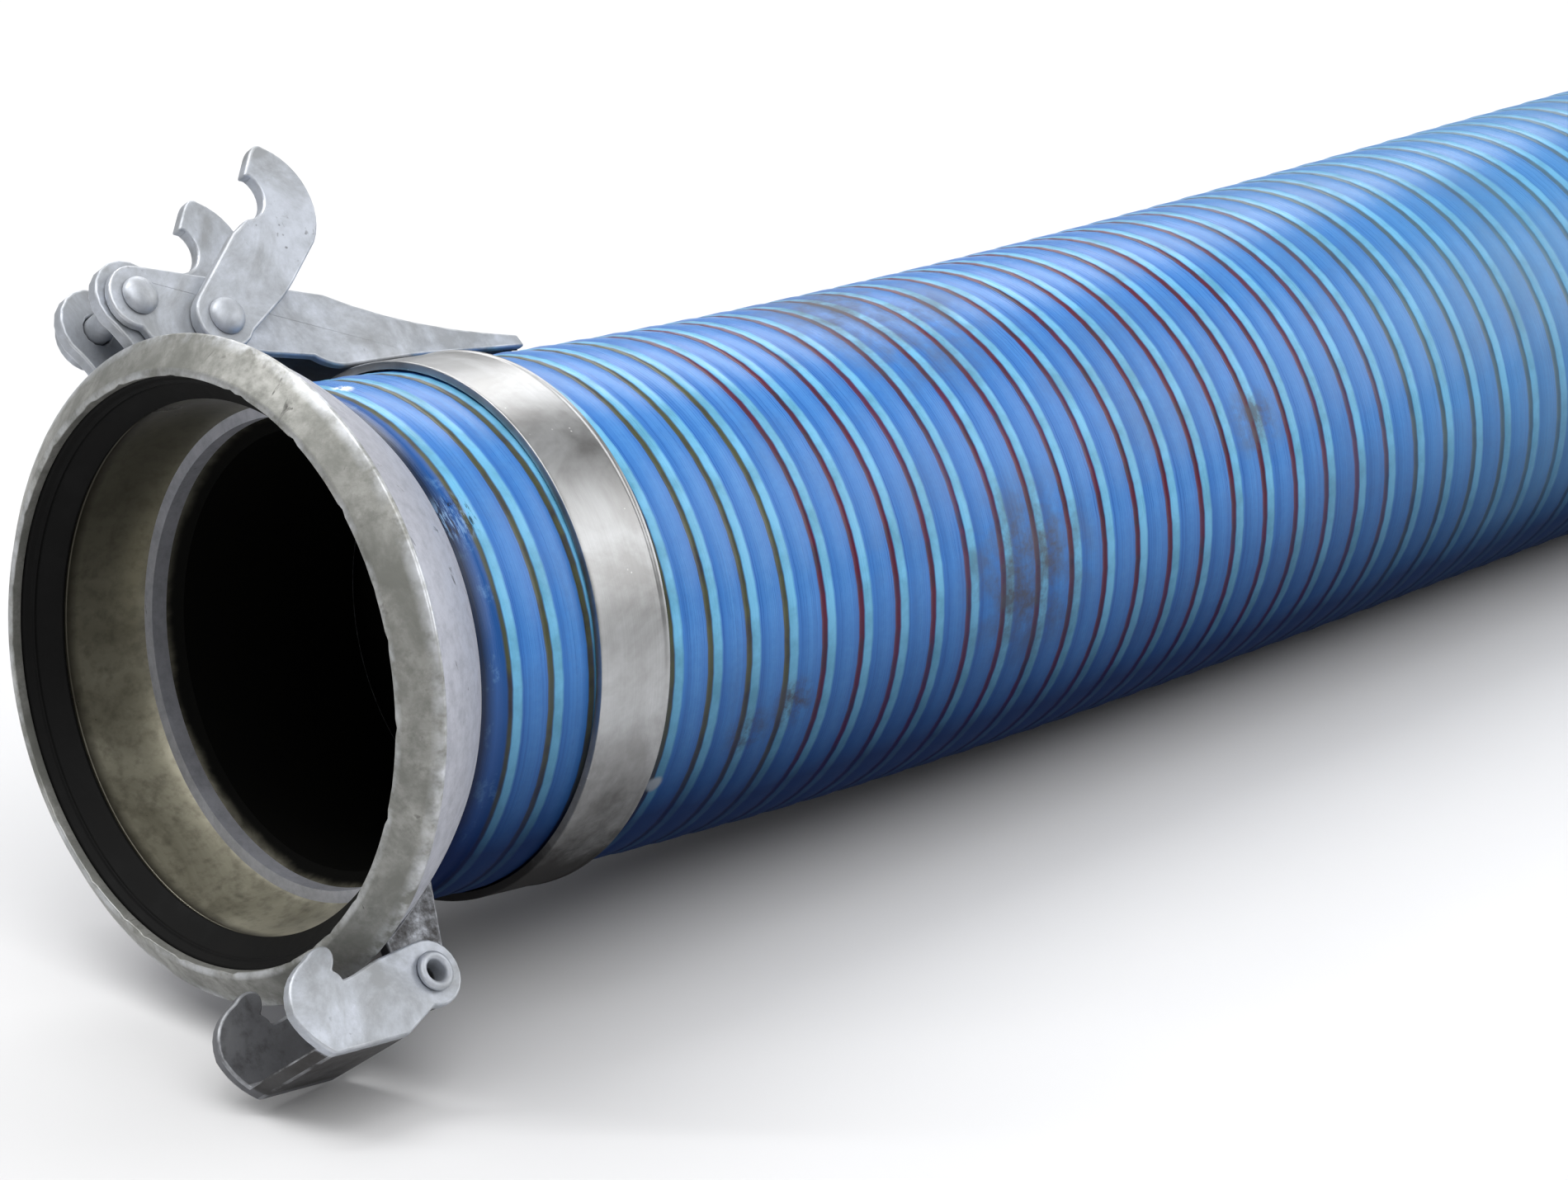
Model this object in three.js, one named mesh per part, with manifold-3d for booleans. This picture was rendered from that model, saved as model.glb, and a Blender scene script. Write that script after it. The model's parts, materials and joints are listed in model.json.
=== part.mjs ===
// Slurry hose: a spiral-ribbed plastic suction hose with a galvanised hook and lever coupling on one end.
// Millimetres, +Z up. The hose lies along +X on the floor, with the coupling's mouth at the -X end.
import * as THREE from "three";
import { mergeVertices } from "three/addons/utils/BufferGeometryUtils.js";
import Module from "manifold-3d";

const wasm = await Module();
wasm.setup();

// Gaps
const seatGap = 0.3; // between pieces that are welded, pressed or laid on each other
const runningGap = 0.4; // between pieces that turn past each other

// Hose
const hoseRadius = 84.5;
const hoseWall = 8.5;
const hoseLength = 2000; // from the mouth to the cut end, along the centre line
const hoseSides = 40;
const hoseSteps = 20;

// How the hose lies: the coupling's axis falls towards the floor, and the hose has a slight set in plan
const mouthTilt = THREE.MathUtils.degToRad(5.92);
const mouthYaw = THREE.MathUtils.degToRad(0.88);
const planBendLeftRadius = 8000; // where the hose leaves the tail
const planBendRightRadius = 5000; // for the rest of the length
const planBendChangeAt = 310; // where the one bend passes into the other
const planBendFullAt = 800; // from here on the bend to the right is full
const lineStep = 5;

// Coupling body, a turned cup: "at" is the distance behind the mouth's front face
const turnedSides = 56;
const flangeRadius = 105.5;
const coneWidth = 10.3; // sloping front of the flange, seen from the front
const lipLand = 2.2; // flat ring at the front of the lip
const flangeEdgeAt = 8.6;
const flangeEdgeWidth = 1.6;
const flangeEdgeTaper = 0.4;
const flangeOverBowl = 1.9; // step from the flange's edge down to the cup's round back
const shoulderAt = 43; // the hose's end butts against this step
const shoulderUnderHose = 0.8;
const tailEndAt = 125;
const tailWall = 4.6;
const lipThickness = 3.6;
const grooveWidth = 11.7;
const grooveWall = 4.5; // metal left between the seal's groove and the cup's back
const cupInsideLip = 8; // step from the lip in to the metal cup behind the seal
const cupDepth = 37.1; // from that edge to the tail's bore
const cupRoundness = 0.96; // share of a full quarter round
const cupSteps = 7;
const backSteps = 6;

// Seal ring: steps of its inner face, measured from the lip and from the cup's edge
const sealUnderLip = 0.6;
const sealOverCup = 0.8;
const sealNose = 1.2;
const sealWaistUnderLip = 2.8;
const sealWaistRise = 2.6;

// Band clamp
const bandAt = 89.6;
const bandWidth = 29.4;
const bandThickness = 3;
const bandEdge = 1.2;

// The lever and the hooks stand on one diameter of the coupling, leaning to the far side
const roll = THREE.MathUtils.degToRad(37.3);

// Lever: distances from the coupling's axis are "high"
const leverPivotAt = 19.5;
const leverPivotOverFlange = 14.5;
const leverWidth = 34;
const leverPlate = 3.5;
const leverHeadRadius = 10.9;
const leverSlope = THREE.MathUtils.degToRad(-14.7);
const leverKneeAt = 91.4; // end of the straight back
const leverEndAt = 164.7;
const leverEndRise = 4.7; // over the hose
const leverEndDepth = 4.3;
const leverEndSlant = 1.6;
const leverBowRun = 30; // how the back bows from the knee to the end
const leverBowRise = 7;
const leverChinBack = 1; // where the lower edge leaves the head
const leverChinDrop = 14.6;
const leverBellyAt = 60.5; // where the lower edge starts to run out along the hose
const leverDepth = 25.3;
const leverHaunchRun = 18;
const leverHaunchRise = 4.6; // over the band
const leverFlankRun = 6;
const leverFlankRise = 0.6;
const leverWebStart = 17; // clear of the lugs' heads

// Lugs that carry the lever
const leverLugThickness = 5;
const leverLugHeadRadius = 13;
const leverLugRise = 1.5; // the head's centre above the rivet
const leverLugFrontAt = 15;
const leverLugNeckBow = 1;
const leverLugNeckTop = 16; // below the head's centre
const leverLugNeckDrop = 22;
const leverLugBackAt = 42;
const leverLugBackSlant = 4;
const leverLugBackDrop = 20;
const leverLugCheekDrop = 4;

// Rivets
const rivetShankRadius = 4.8;
const rivetHeadRadius = 6.2;
const rivetHeadHeight = 3.4;
const rivetSides = 20;
const domeSteps = 4;

// Hooks on the lever: outline along the plate (u) and across it (v), from the rivet
const hookPivotAt = 45.3;
const hookPivotDepth = 17.1; // under the lever's back
const hookAngle = THREE.MathUtils.degToRad(41);
const hookPlate = 5;
const hookHeadRadius = 10.8;
const hookBowlSag = 0.2; // how far the round back stands below the straight one
const hookNeckU = 18;
const hookNeckRise = 1.2;
const hookBackU = 32;
const hookBackBowU = 24;
const hookBowlU = 46; // centre of the round back
const hookBowlV = 8;
const hookBowlRadius = 22.6;
const hookNotchU = 45; // centre of the notch
const hookNotchV = 14.6;
const hookNotchRadius = 8.6;
const hookNotchSweep = THREE.MathUtils.degToRad(140);
const hookThroatU = 30;
const hookThroatBowU = 36;
const hookThroatBow = 1.4;
const hookTipV = 18.6;
const hookTipU = 61;
const hookTipRound = 3;
const hookTipBowU = 67;
const hookTipBow = 1;
const hookLipRun = 1.4;
const hookLipDrop = 1.8;
const hookLipLand = 0.4;

// Bottom hook, a channel with two hooked cheeks: u runs from its pin towards the mouth, v towards the axis
const clawPivotAt = 27.2;
const clawPivotOverFlange = 7.3;
const clawWidth = 44;
const clawPlate = 4;
const clawHeadRadius = 10.8;
const clawWebV = -16.6;
const clawWebStartU = 17;
const clawToeU = 46;
const clawToeBowU = 54.2;
const clawToeBow = 6;
const clawFrontU = 56.2;
const clawFrontV = -2;
const clawFrontBowV = 9;
const clawNoseU = 36; // middle of the nose's top
const clawNoseV = 16.4;
const clawNoseFrontRun = 8;
const clawNoseFrontDrop = 2.6;
const clawNoseRound = 3;
const clawNoseRoundRise = 1.2;
const clawNoseBackRun = 4;
const clawNoseBackDrop = 8;
const clawNotchU = 31.6;
const clawNotchRadius = 4.2;
const clawNotchDepthV = 4.9;
const clawNotchRun = 2;
const clawNotchRise = 1.6;
const clawShoulderU = 4;
const clawShoulderDrop = 0.4;
const clawStopGap = 0.5; // between the cheeks' upper edges and the flange that stops them

// Lugs that carry the bottom hook, and their tubular pin
const clawLugThickness = 5;
const clawLugHeadRadius = 10;
const clawLugFrontAt = 18;
const clawLugFrontRise = 8;
const clawLugBackAt = 46;
const pinRadius = 5;
const pinBoreRadius = 3.1;
const pinRimRadius = 6.3;
const pinRimHeight = 2.2;
const pinRimRound = 0.9;
const pinMouth = 0.6;

// Finishes
const finish = (color, roughness, metalness) =>
  new THREE.MeshStandardMaterial({ color, roughness, metalness });
const blueHose = finish(0x4687cd, 0.4, 0);
const galvanised = finish(0xa3a5a4, 0.55, 0.6);
const blackRubber = finish(0x151515, 0.8, 0);
const stainless = finish(0xb9bcbd, 0.3, 0.9);

// Changes a three.js geometry to a solid and back, for cuts and joins
function solidOf(geometry) {
  const bare = geometry.clone();
  bare.deleteAttribute("normal");
  bare.deleteAttribute("uv");
  const merged = mergeVertices(bare, 1e-4);
  const mesh = new wasm.Mesh({
    numProp: 3,
    vertProperties: new Float32Array(merged.attributes.position.array),
    triVerts: new Uint32Array(merged.index.array),
  });
  return new wasm.Manifold(mesh);
}

function geometryOf(solid) {
  const mesh = solid.getMesh();
  const geometry = new THREE.BufferGeometry();
  geometry.setAttribute("position", new THREE.BufferAttribute(new Float32Array(mesh.vertProperties), 3));
  geometry.setIndex(new THREE.BufferAttribute(new Uint32Array(mesh.triVerts), 1));
  return geometry;
}

// A profile of [distance along the axis, radius] turned about the X axis
function turned(profile, sides) {
  const points = profile.map(([along, radius]) => new THREE.Vector2(radius, along));
  return new THREE.LatheGeometry(points, sides).rotateZ(-Math.PI / 2);
}

const closed = (profile) => [...profile, profile[0]];

// A rod-like profile turned about the Y axis
function turnedRod(profile, sides) {
  return new THREE.LatheGeometry(profile.map(([along, radius]) => new THREE.Vector2(radius, along)), sides);
}

// A plate whose outline lies in the XZ plane, from y = start to y = start + thickness
const plateCurveSegments = 6;

function plate(shape, start, thickness) {
  const settings = { depth: thickness, bevelEnabled: false, curveSegments: plateCurveSegments };
  return new THREE.ExtrudeGeometry(shape, settings).rotateX(Math.PI / 2).translate(0, start + thickness, 0);
}

// A round hole, drawn the opposite way round to its outline
function hole(shape, x, y, radius) {
  const path = new THREE.Path();
  const clockwise = !THREE.ShapeUtils.isClockWise(shape.getPoints());
  path.absarc(x, y, radius, 0, 2 * Math.PI, clockwise);
  shape.holes.push(path);
  return shape;
}

// A radius that a polygon of so many sides may have inside a round one, and the other way round
const insideOf = (radius, sides, gap) => radius * Math.cos(Math.PI / sides) - gap;
const aroundOf = (radius, sides, gap) => (radius + gap) / Math.cos(Math.PI / sides);

// The cup's round back: a circle about a point on the axis, through the flange's edge and the shoulder
const edgeBackAt = flangeEdgeAt + flangeEdgeWidth;
const bowlStartRadius = flangeRadius - flangeOverBowl;
const bowlEndRadius = hoseRadius - shoulderUnderHose;
const bowlRun = shoulderAt - edgeBackAt;
const bowlFall = bowlStartRadius ** 2 - bowlEndRadius ** 2;
const bowlCentreAt = (shoulderAt + edgeBackAt) / 2 - bowlFall / (2 * bowlRun);
const bowlRadius = Math.hypot(edgeBackAt - bowlCentreAt, bowlStartRadius);
const bowlAt = (at) => Math.sqrt(bowlRadius ** 2 - (at - bowlCentreAt) ** 2);

// The cup, its flange and the tail that the hose is pushed onto
const hoseBoreRadius = hoseRadius - hoseWall;
const tailRadius = insideOf(hoseBoreRadius, hoseSides, seatGap);
const tailBoreRadius = tailRadius - tailWall;
const lipRadius = flangeRadius - coneWidth - lipLand;
const cupLipRadius = lipRadius - cupInsideLip;
const grooveBackAt = lipThickness + grooveWidth;
const grooveRadius = bowlAt(grooveBackAt) - grooveWall;

function couplingOutside(grow) {
  const back = [];
  for (let i = 0; i <= backSteps; i += 1) {
    const at = edgeBackAt + (bowlRun * i) / backSteps;
    back.push([at, bowlAt(at) + grow]);
  }
  return [
    [-grow, lipRadius + lipLand + grow / 2],
    [flangeEdgeAt - grow / 2, flangeRadius + grow],
    [edgeBackAt, flangeRadius - flangeEdgeTaper + grow],
    ...back,
  ];
}

// The inside of the cup narrows in a round sweep from the seal to the tail's bore
function cupInside() {
  const points = [];
  const drop = (share) => 1 - Math.sqrt(1 - share * share * cupRoundness);
  for (let i = 0; i <= cupSteps; i += 1) {
    const share = i / cupSteps;
    const radius = cupLipRadius - ((cupLipRadius - tailBoreRadius) * drop(share)) / drop(1);
    points.push([grooveBackAt + cupDepth * share, radius]);
  }
  return points;
}

function couplingBody() {
  const profile = [
    [0, lipRadius],
    ...couplingOutside(0),
    [shoulderAt, tailRadius],
    [tailEndAt, tailRadius],
    [tailEndAt, tailBoreRadius],
    ...cupInside().reverse(),
    [grooveBackAt, grooveRadius],
    [lipThickness, grooveRadius],
    [lipThickness, lipRadius],
  ];
  return turned(closed(profile), turnedSides);
}

function sealRing() {
  const outside = insideOf(grooveRadius, turnedSides, seatGap);
  const front = lipThickness + seatGap;
  const back = grooveBackAt - seatGap;
  const lip = cupLipRadius - sealOverCup;
  const waist = lipRadius - sealWaistUnderLip;
  const profile = [
    [front, lipRadius - sealUnderLip],
    [front, outside],
    [back, outside],
    [back, lip + sealNose],
    [back - sealNose, lip],
    [back - sealNose * 4, waist - sealWaistRise],
    [front + sealNose * 3, waist],
  ];
  return turned(closed(profile), turnedSides);
}

const bandInsideRadius = aroundOf(hoseRadius, turnedSides, seatGap);
const bandRadius = bandInsideRadius + bandThickness;
const bandEndAt = bandAt + bandWidth;

function bandClamp() {
  const profile = [
    [bandAt, bandInsideRadius],
    [bandAt, bandRadius - bandEdge],
    [bandAt + bandEdge, bandRadius],
    [bandEndAt - bandEdge, bandRadius],
    [bandEndAt, bandRadius - bandEdge],
    [bandEndAt, bandInsideRadius],
  ];
  return turned(closed(profile), turnedSides);
}

// Everything that the lugs stand on, grown by the gap of a weld
function couplingEnvelope() {
  const grownHose = hoseRadius + seatGap;
  const tail = [[shoulderAt + seatGap, grownHose], [tailEndAt, grownHose], [tailEndAt, 0]];
  return turned([[-seatGap, 0], ...couplingOutside(seatGap), ...tail], turnedSides);
}

const envelope = solidOf(couplingEnvelope());

// Lever: the straight back falls at leverSlope, and then runs out in a hollow curve to the end
const leverPivotHigh = flangeRadius + leverPivotOverFlange;
const leverEndHigh = hoseRadius + leverEndRise;

const backHigh = (at) => {
  const tangentHigh = leverPivotHigh + leverHeadRadius / Math.cos(leverSlope);
  return tangentHigh + (at - leverPivotAt) * Math.tan(leverSlope);
};

const cheekInside = leverWidth / 2 - leverPlate;
const restHigh = Math.sqrt(bandRadius ** 2 - cheekInside ** 2) + runningGap;
const hookPivotHigh = backHigh(hookPivotAt) - hookPivotDepth;

// The back's hollow end, drawn towards the knee at some depth under the back
function drawBackEnd(shape, depth) {
  const kneeHigh = backHigh(leverKneeAt) - depth;
  const bowHigh = leverEndHigh + leverBowRise - depth;
  shape.quadraticCurveTo(leverKneeAt + leverBowRun, bowHigh, leverKneeAt, kneeHigh);
}

function leverOutline() {
  const up = Math.PI / 2 + leverSlope;
  const shape = new THREE.Shape();
  shape.absarc(leverPivotAt, leverPivotHigh, leverHeadRadius, up, up + Math.PI, false);
  shape.lineTo(leverPivotAt - leverChinBack, leverPivotHigh - leverChinDrop);
  shape.lineTo(leverBellyAt, backHigh(leverBellyAt) - leverDepth);
  shape.lineTo(leverBellyAt + leverHaunchRun, restHigh + leverHaunchRise);
  shape.quadraticCurveTo(bandAt - leverFlankRun, restHigh + leverFlankRise, bandAt, restHigh);
  shape.lineTo(bandEndAt, restHigh);
  shape.lineTo(leverEndAt + leverEndSlant, leverEndHigh - leverEndDepth);
  shape.lineTo(leverEndAt, leverEndHigh);
  drawBackEnd(shape, 0);
  shape.closePath();
  return shape;
}

// The hollow between the lever's cheeks: open below, in front of the web and at the far end
function leverHollow() {
  const webAt = leverPivotAt + leverWebStart;
  const endAt = leverEndAt + leverWidth;
  const high = leverPivotHigh + 2 * leverHeadRadius;
  const inner = new THREE.Shape();
  inner.moveTo(0, 0);
  inner.lineTo(endAt, 0);
  inner.lineTo(endAt, leverEndHigh - leverPlate);
  inner.lineTo(leverEndAt, leverEndHigh - leverPlate);
  drawBackEnd(inner, leverPlate);
  inner.lineTo(webAt, backHigh(webAt) - leverPlate);
  inner.lineTo(webAt, high);
  inner.lineTo(0, high);
  inner.closePath();
  return solidOf(plate(inner, -cheekInside, 2 * cheekInside));
}

function lever() {
  const shape = leverOutline();
  hole(shape, leverPivotAt, leverPivotHigh, rivetShankRadius + runningGap);
  hole(shape, hookPivotAt, hookPivotHigh, rivetShankRadius + seatGap);
  const whole = solidOf(plate(shape, -leverWidth / 2, leverWidth));
  return geometryOf(whole.subtract(leverHollow()));
}

// A lug: a round head on a foot that is cut to the cup's back
function leverLug(start) {
  const centreHigh = leverPivotHigh + leverLugRise;
  const headStart = -0.2;
  const headEnd = Math.PI + 0.75;
  const shape = new THREE.Shape();
  shape.moveTo(leverLugBackAt, tailRadius);
  shape.lineTo(leverLugBackAt - leverLugBackSlant, leverPivotHigh - leverLugBackDrop);
  shape.lineTo(leverPivotAt + leverLugHeadRadius, centreHigh - leverLugCheekDrop);
  shape.absarc(leverPivotAt, centreHigh, leverLugHeadRadius, headStart, headEnd, false);
  const neckAt = leverLugFrontAt - leverLugNeckBow;
  shape.quadraticCurveTo(neckAt, centreHigh - leverLugNeckTop, leverLugFrontAt, centreHigh - leverLugNeckDrop);
  shape.lineTo(leverLugFrontAt, tailRadius);
  shape.closePath();
  hole(shape, leverPivotAt, leverPivotHigh, rivetShankRadius + seatGap);
  return geometryOf(solidOf(plate(shape, start, leverLugThickness)).subtract(envelope));
}

const clawPivotHigh = flangeRadius + clawPivotOverFlange;

function clawLug(start) {
  const headStart = Math.PI - 0.3;
  const headEnd = 2 * Math.PI + 0.15;
  const shape = new THREE.Shape();
  shape.moveTo(clawLugBackAt, -tailRadius);
  shape.lineTo(clawLugFrontAt, -tailRadius);
  shape.lineTo(clawLugFrontAt, clawLugFrontRise - clawPivotHigh);
  shape.absarc(clawPivotAt, -clawPivotHigh, clawLugHeadRadius, headStart, headEnd, false);
  shape.closePath();
  hole(shape, clawPivotAt, -clawPivotHigh, pinRadius + seatGap);
  return geometryOf(solidOf(plate(shape, start, clawLugThickness)).subtract(envelope));
}

// A rivet along Y with a domed head at each end, whose heads bear on faces so far apart
function rivet(grip) {
  const half = grip / 2 + seatGap;
  const dome = [];
  for (let i = 0; i <= domeSteps; i += 1) {
    const angle = (i / domeSteps) * (Math.PI / 2);
    dome.push([half + rivetHeadHeight * Math.cos(angle), rivetHeadRadius * Math.sin(angle)]);
  }
  const side = [...dome, [half, rivetShankRadius]];
  const otherSide = side.map(([along, radius]) => [-along, radius]);
  return turnedRod([...otherSide, ...side.reverse()], rivetSides);
}

// A tubular pin along Y with a rolled rim at each end
function tubularPin(grip) {
  const half = grip / 2 + runningGap;
  const end = half + pinRimHeight;
  const side = [
    [half, pinBoreRadius],
    [end, pinBoreRadius + pinMouth],
    [end, pinRimRadius - pinRimRound],
    [half + pinRimHeight / 2, pinRimRadius],
    [half, pinRimRadius - pinRimRound],
    [half, pinRadius],
  ];
  const otherSide = side.map(([along, radius]) => [-along, radius]);
  return turnedRod(closed([...otherSide, ...side.reverse()]), rivetSides);
}

// One hook plate in its own frame: the rivet at the origin, u along X, v along Z
function hookPlateShape() {
  const hookBackV = hookBowlV - hookBowlRadius + hookBowlSag;
  const backStart = Math.asin((hookBackV - hookBowlV) / hookBowlRadius);
  const tipAngle = Math.asin((hookTipV - hookTipRound - hookBowlV) / hookBowlRadius);
  const notchRight = hookNotchU + hookNotchRadius;
  const headEnd = 1.5 * Math.PI + 0.25;
  const shape = new THREE.Shape();
  shape.absarc(0, 0, hookHeadRadius, Math.PI / 2, headEnd, false);
  shape.lineTo(hookNeckU, hookBackV + hookNeckRise);
  shape.quadraticCurveTo(hookBackBowU, hookBackV, hookBackU, hookBackV);
  shape.absarc(hookBowlU, hookBowlV, hookBowlRadius, backStart, tipAngle, false);
  shape.quadraticCurveTo(hookTipBowU, hookTipV + hookTipBow, hookTipU, hookTipV);
  shape.lineTo(notchRight - hookLipRun, hookTipV - hookLipDrop);
  shape.lineTo(notchRight, hookNotchV + hookLipLand);
  shape.absarc(hookNotchU, hookNotchV, hookNotchRadius, 0, -hookNotchSweep, true);
  shape.quadraticCurveTo(hookThroatBowU, hookHeadRadius - hookThroatBow, hookThroatU, hookHeadRadius);
  shape.closePath();
  return hole(shape, 0, 0, rivetShankRadius + runningGap);
}

// The bottom hook in its own frame: the pin at the origin, the mouth towards -X, the coupling's axis towards +Z
const clawInside = clawWidth / 2 - clawPlate;
const clawStopU = clawPivotAt - flangeEdgeAt;
const clawStopV = clawPivotHigh - Math.sqrt(flangeRadius ** 2 - clawInside ** 2) - clawStopGap;

function clawOutline() {
  const headEnd = -Math.PI / 2 - 0.35;
  const noseFront = -clawNoseU - clawNoseFrontRun;
  const noseRound = -clawNoseU - clawNoseRound;
  const noseTop = -clawNoseU + 1;
  const noseBack = -clawNoseU + clawNoseBackRun;
  const notchFront = -clawNotchU - clawNotchRun;
  const shape = new THREE.Shape();
  shape.absarc(0, 0, clawHeadRadius, Math.PI / 2, headEnd, true);
  shape.lineTo(-clawWebStartU, clawWebV);
  shape.lineTo(-clawToeU, clawWebV);
  shape.quadraticCurveTo(-clawToeBowU, clawWebV + clawToeBow, -clawFrontU, clawFrontV);
  shape.quadraticCurveTo(-clawFrontU, clawFrontBowV, noseFront, clawNoseV - clawNoseFrontDrop);
  shape.quadraticCurveTo(noseRound, clawNoseV + clawNoseRoundRise, noseTop, clawNoseV - clawNoseRoundRise / 2);
  shape.quadraticCurveTo(noseBack, clawNoseV - clawNoseRound, -clawNoseU, clawNoseV - clawNoseBackDrop);
  shape.quadraticCurveTo(notchFront, clawNotchDepthV + clawNotchRise, notchFront, clawNotchDepthV);
  shape.quadraticCurveTo(-clawNotchU, clawNotchDepthV, -clawNotchU + clawNotchRadius, clawNotchDepthV + 1);
  shape.lineTo(-clawStopU, clawStopV);
  shape.lineTo(-clawShoulderU, clawHeadRadius - clawShoulderDrop);
  shape.closePath();
  return hole(shape, 0, 0, pinRadius + runningGap);
}

// The hollow between the hook's cheeks: open towards the axis, at the nose and behind the web
function clawHollow() {
  const floorV = clawWebV + clawPlate;
  const webBackU = -clawWebStartU + 1;
  const clear = 2 * clawHeadRadius;
  const inner = new THREE.Shape();
  inner.moveTo(-clawFrontU - clear, floorV);
  inner.lineTo(webBackU, floorV);
  inner.lineTo(webBackU, clawWebV - clear);
  inner.lineTo(clear, clawWebV - clear);
  inner.lineTo(clear, clawNoseV + clear);
  inner.lineTo(-clawFrontU - clear, clawNoseV + clear);
  inner.closePath();
  return solidOf(plate(inner, -clawInside, 2 * clawInside));
}

function bottomHook() {
  const whole = solidOf(plate(clawOutline(), -clawWidth / 2, clawWidth));
  return geometryOf(whole.subtract(clawHollow()));
}

function part(name, geometry, material) {
  const mesh = new THREE.Mesh(geometry, material);
  mesh.name = name;
  return mesh;
}

// Coupling: a group whose +X is the axis from the mouth to the hose, and in it the leaning group of levers
const coupling = new THREE.Group();
coupling.rotation.set(0, mouthTilt, mouthYaw, "ZYX");
coupling.add(part("coupling_body", couplingBody(), galvanised));
coupling.add(part("seal_ring", sealRing(), blackRubber));
coupling.add(part("band_clamp", bandClamp(), stainless));

const leaning = new THREE.Group();
leaning.rotation.x = -roll;
coupling.add(leaning);

const leverLugStart = cheekInside - runningGap - leverLugThickness;
leaning.add(part("lever_lug_near", leverLug(-leverLugStart - leverLugThickness), galvanised));
leaning.add(part("lever_lug_far", leverLug(leverLugStart), galvanised));
leaning.add(part("lever", lever(), galvanised));

const leverRivet = part("lever_rivet", rivet(leverWidth + runningGap), galvanised);
leverRivet.position.set(leverPivotAt, 0, leverPivotHigh);
leaning.add(leverRivet);

const hookStart = leverWidth / 2 + runningGap;
for (const [name, start] of [["hook_near", -hookStart - hookPlate], ["hook_far", hookStart]]) {
  const hook = part(name, plate(hookPlateShape(), start, hookPlate), galvanised);
  hook.position.set(hookPivotAt, 0, hookPivotHigh);
  hook.rotation.y = -hookAngle;
  leaning.add(hook);
}

const hookRivet = part("hook_rivet", rivet(2 * (hookStart + hookPlate)), galvanised);
hookRivet.position.set(hookPivotAt, 0, hookPivotHigh);
leaning.add(hookRivet);

const claw = part("bottom_hook", bottomHook(), galvanised);
claw.position.set(clawPivotAt, 0, -clawPivotHigh);
leaning.add(claw);

const clawLugStart = clawInside - runningGap - clawLugThickness;
leaning.add(part("hook_lug_near", clawLug(-clawLugStart - clawLugThickness), galvanised));
leaning.add(part("hook_lug_far", clawLug(clawLugStart), galvanised));

const pin = part("hook_pin", tubularPin(clawWidth), galvanised);
pin.position.set(clawPivotAt, 0, -clawPivotHigh);
leaning.add(pin);

// The lowest point of the coupling's end stands on the floor, so the hose comes down to the floor behind it
coupling.updateMatrixWorld(true);
const mouthHigh = -new THREE.Box3().setFromObject(coupling, true).min.z;
coupling.position.z = mouthHigh;

// Centre line: straight on the tail, then it levels out like a lifted beam, reaching the floor at touchAt
const rise = mouthHigh - hoseRadius;
const levelling = 3 * (rise / Math.tan(mouthTilt) - tailEndAt);
const touchAt = tailEndAt + levelling;

function slopeAt(at) {
  if (at <= tailEndAt) return mouthTilt;
  if (at >= touchAt) return 0;
  return mouthTilt * ((touchAt - at) / levelling) ** 2;
}

function planCurveAt(at) {
  if (at <= tailEndAt) return 0;
  const share = (at - planBendChangeAt) / (planBendFullAt - planBendChangeAt);
  return THREE.MathUtils.clamp(-share / planBendRightRadius, -1 / planBendRightRadius, 1 / planBendLeftRadius);
}

function centreLine() {
  const points = [];
  const here = new THREE.Vector3(0, 0, mouthHigh);
  let yaw = mouthYaw;
  for (let at = 0; at <= hoseLength; at += lineStep) {
    points.push(here.clone());
    const slope = slopeAt(at + lineStep / 2);
    yaw += planCurveAt(at + lineStep / 2) * lineStep;
    const level = Math.cos(slope);
    const ahead = new THREE.Vector3(Math.cos(yaw) * level, Math.sin(yaw) * level, -Math.sin(slope));
    here.addScaledVector(ahead, lineStep);
  }
  return points;
}

// The hose starts at the shoulder and is straight to the end of the tail
const line = centreLine();

class HoseLine extends THREE.Curve {
  getPoint(share, target = new THREE.Vector3()) {
    const start = shoulderAt + seatGap;
    const index = (start + share * (hoseLength - start)) / lineStep;
    const low = Math.min(Math.floor(index), line.length - 2);
    return target.copy(line[low]).lerp(line[low + 1], index - low);
  }
}

function hoseTube() {
  const shape = new THREE.Shape();
  shape.absarc(0, 0, hoseRadius, 0, 2 * Math.PI, false);
  hole(shape, 0, 0, hoseBoreRadius);
  const curveSegments = hoseSides / 2; // a full circle takes two of these for each of its sides
  const settings = { steps: hoseSteps, extrudePath: new HoseLine(), curveSegments, bevelEnabled: false };
  return new THREE.ExtrudeGeometry(shape, settings);
}

// The whole object, set over the middle of its own footprint
const slurryHose = new THREE.Group();
slurryHose.add(coupling);
slurryHose.add(part("hose", hoseTube(), blueHose));
slurryHose.updateMatrixWorld(true);
const footprint = new THREE.Box3().setFromObject(slurryHose, true).getCenter(new THREE.Vector3());
slurryHose.position.set(-footprint.x, -footprint.y, 0);

export default slurryHose;
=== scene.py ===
"""Slurry hose: the finished surfaces of each piece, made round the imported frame.

Everything is in metres in the row frame: +X runs along the hose from the coupling's mouth, +Z is up.
Places near the coupling are given by three distances from the middle of its mouth: along its axis,
high on the leaning diameter that carries the lever, and to the side of that diameter.
"""
import json
import math

import bmesh
import bpy
import numpy as np
from bpy.props import FloatProperty, FloatVectorProperty, IntProperty, PointerProperty
from mathutils import Matrix, Vector


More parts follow.
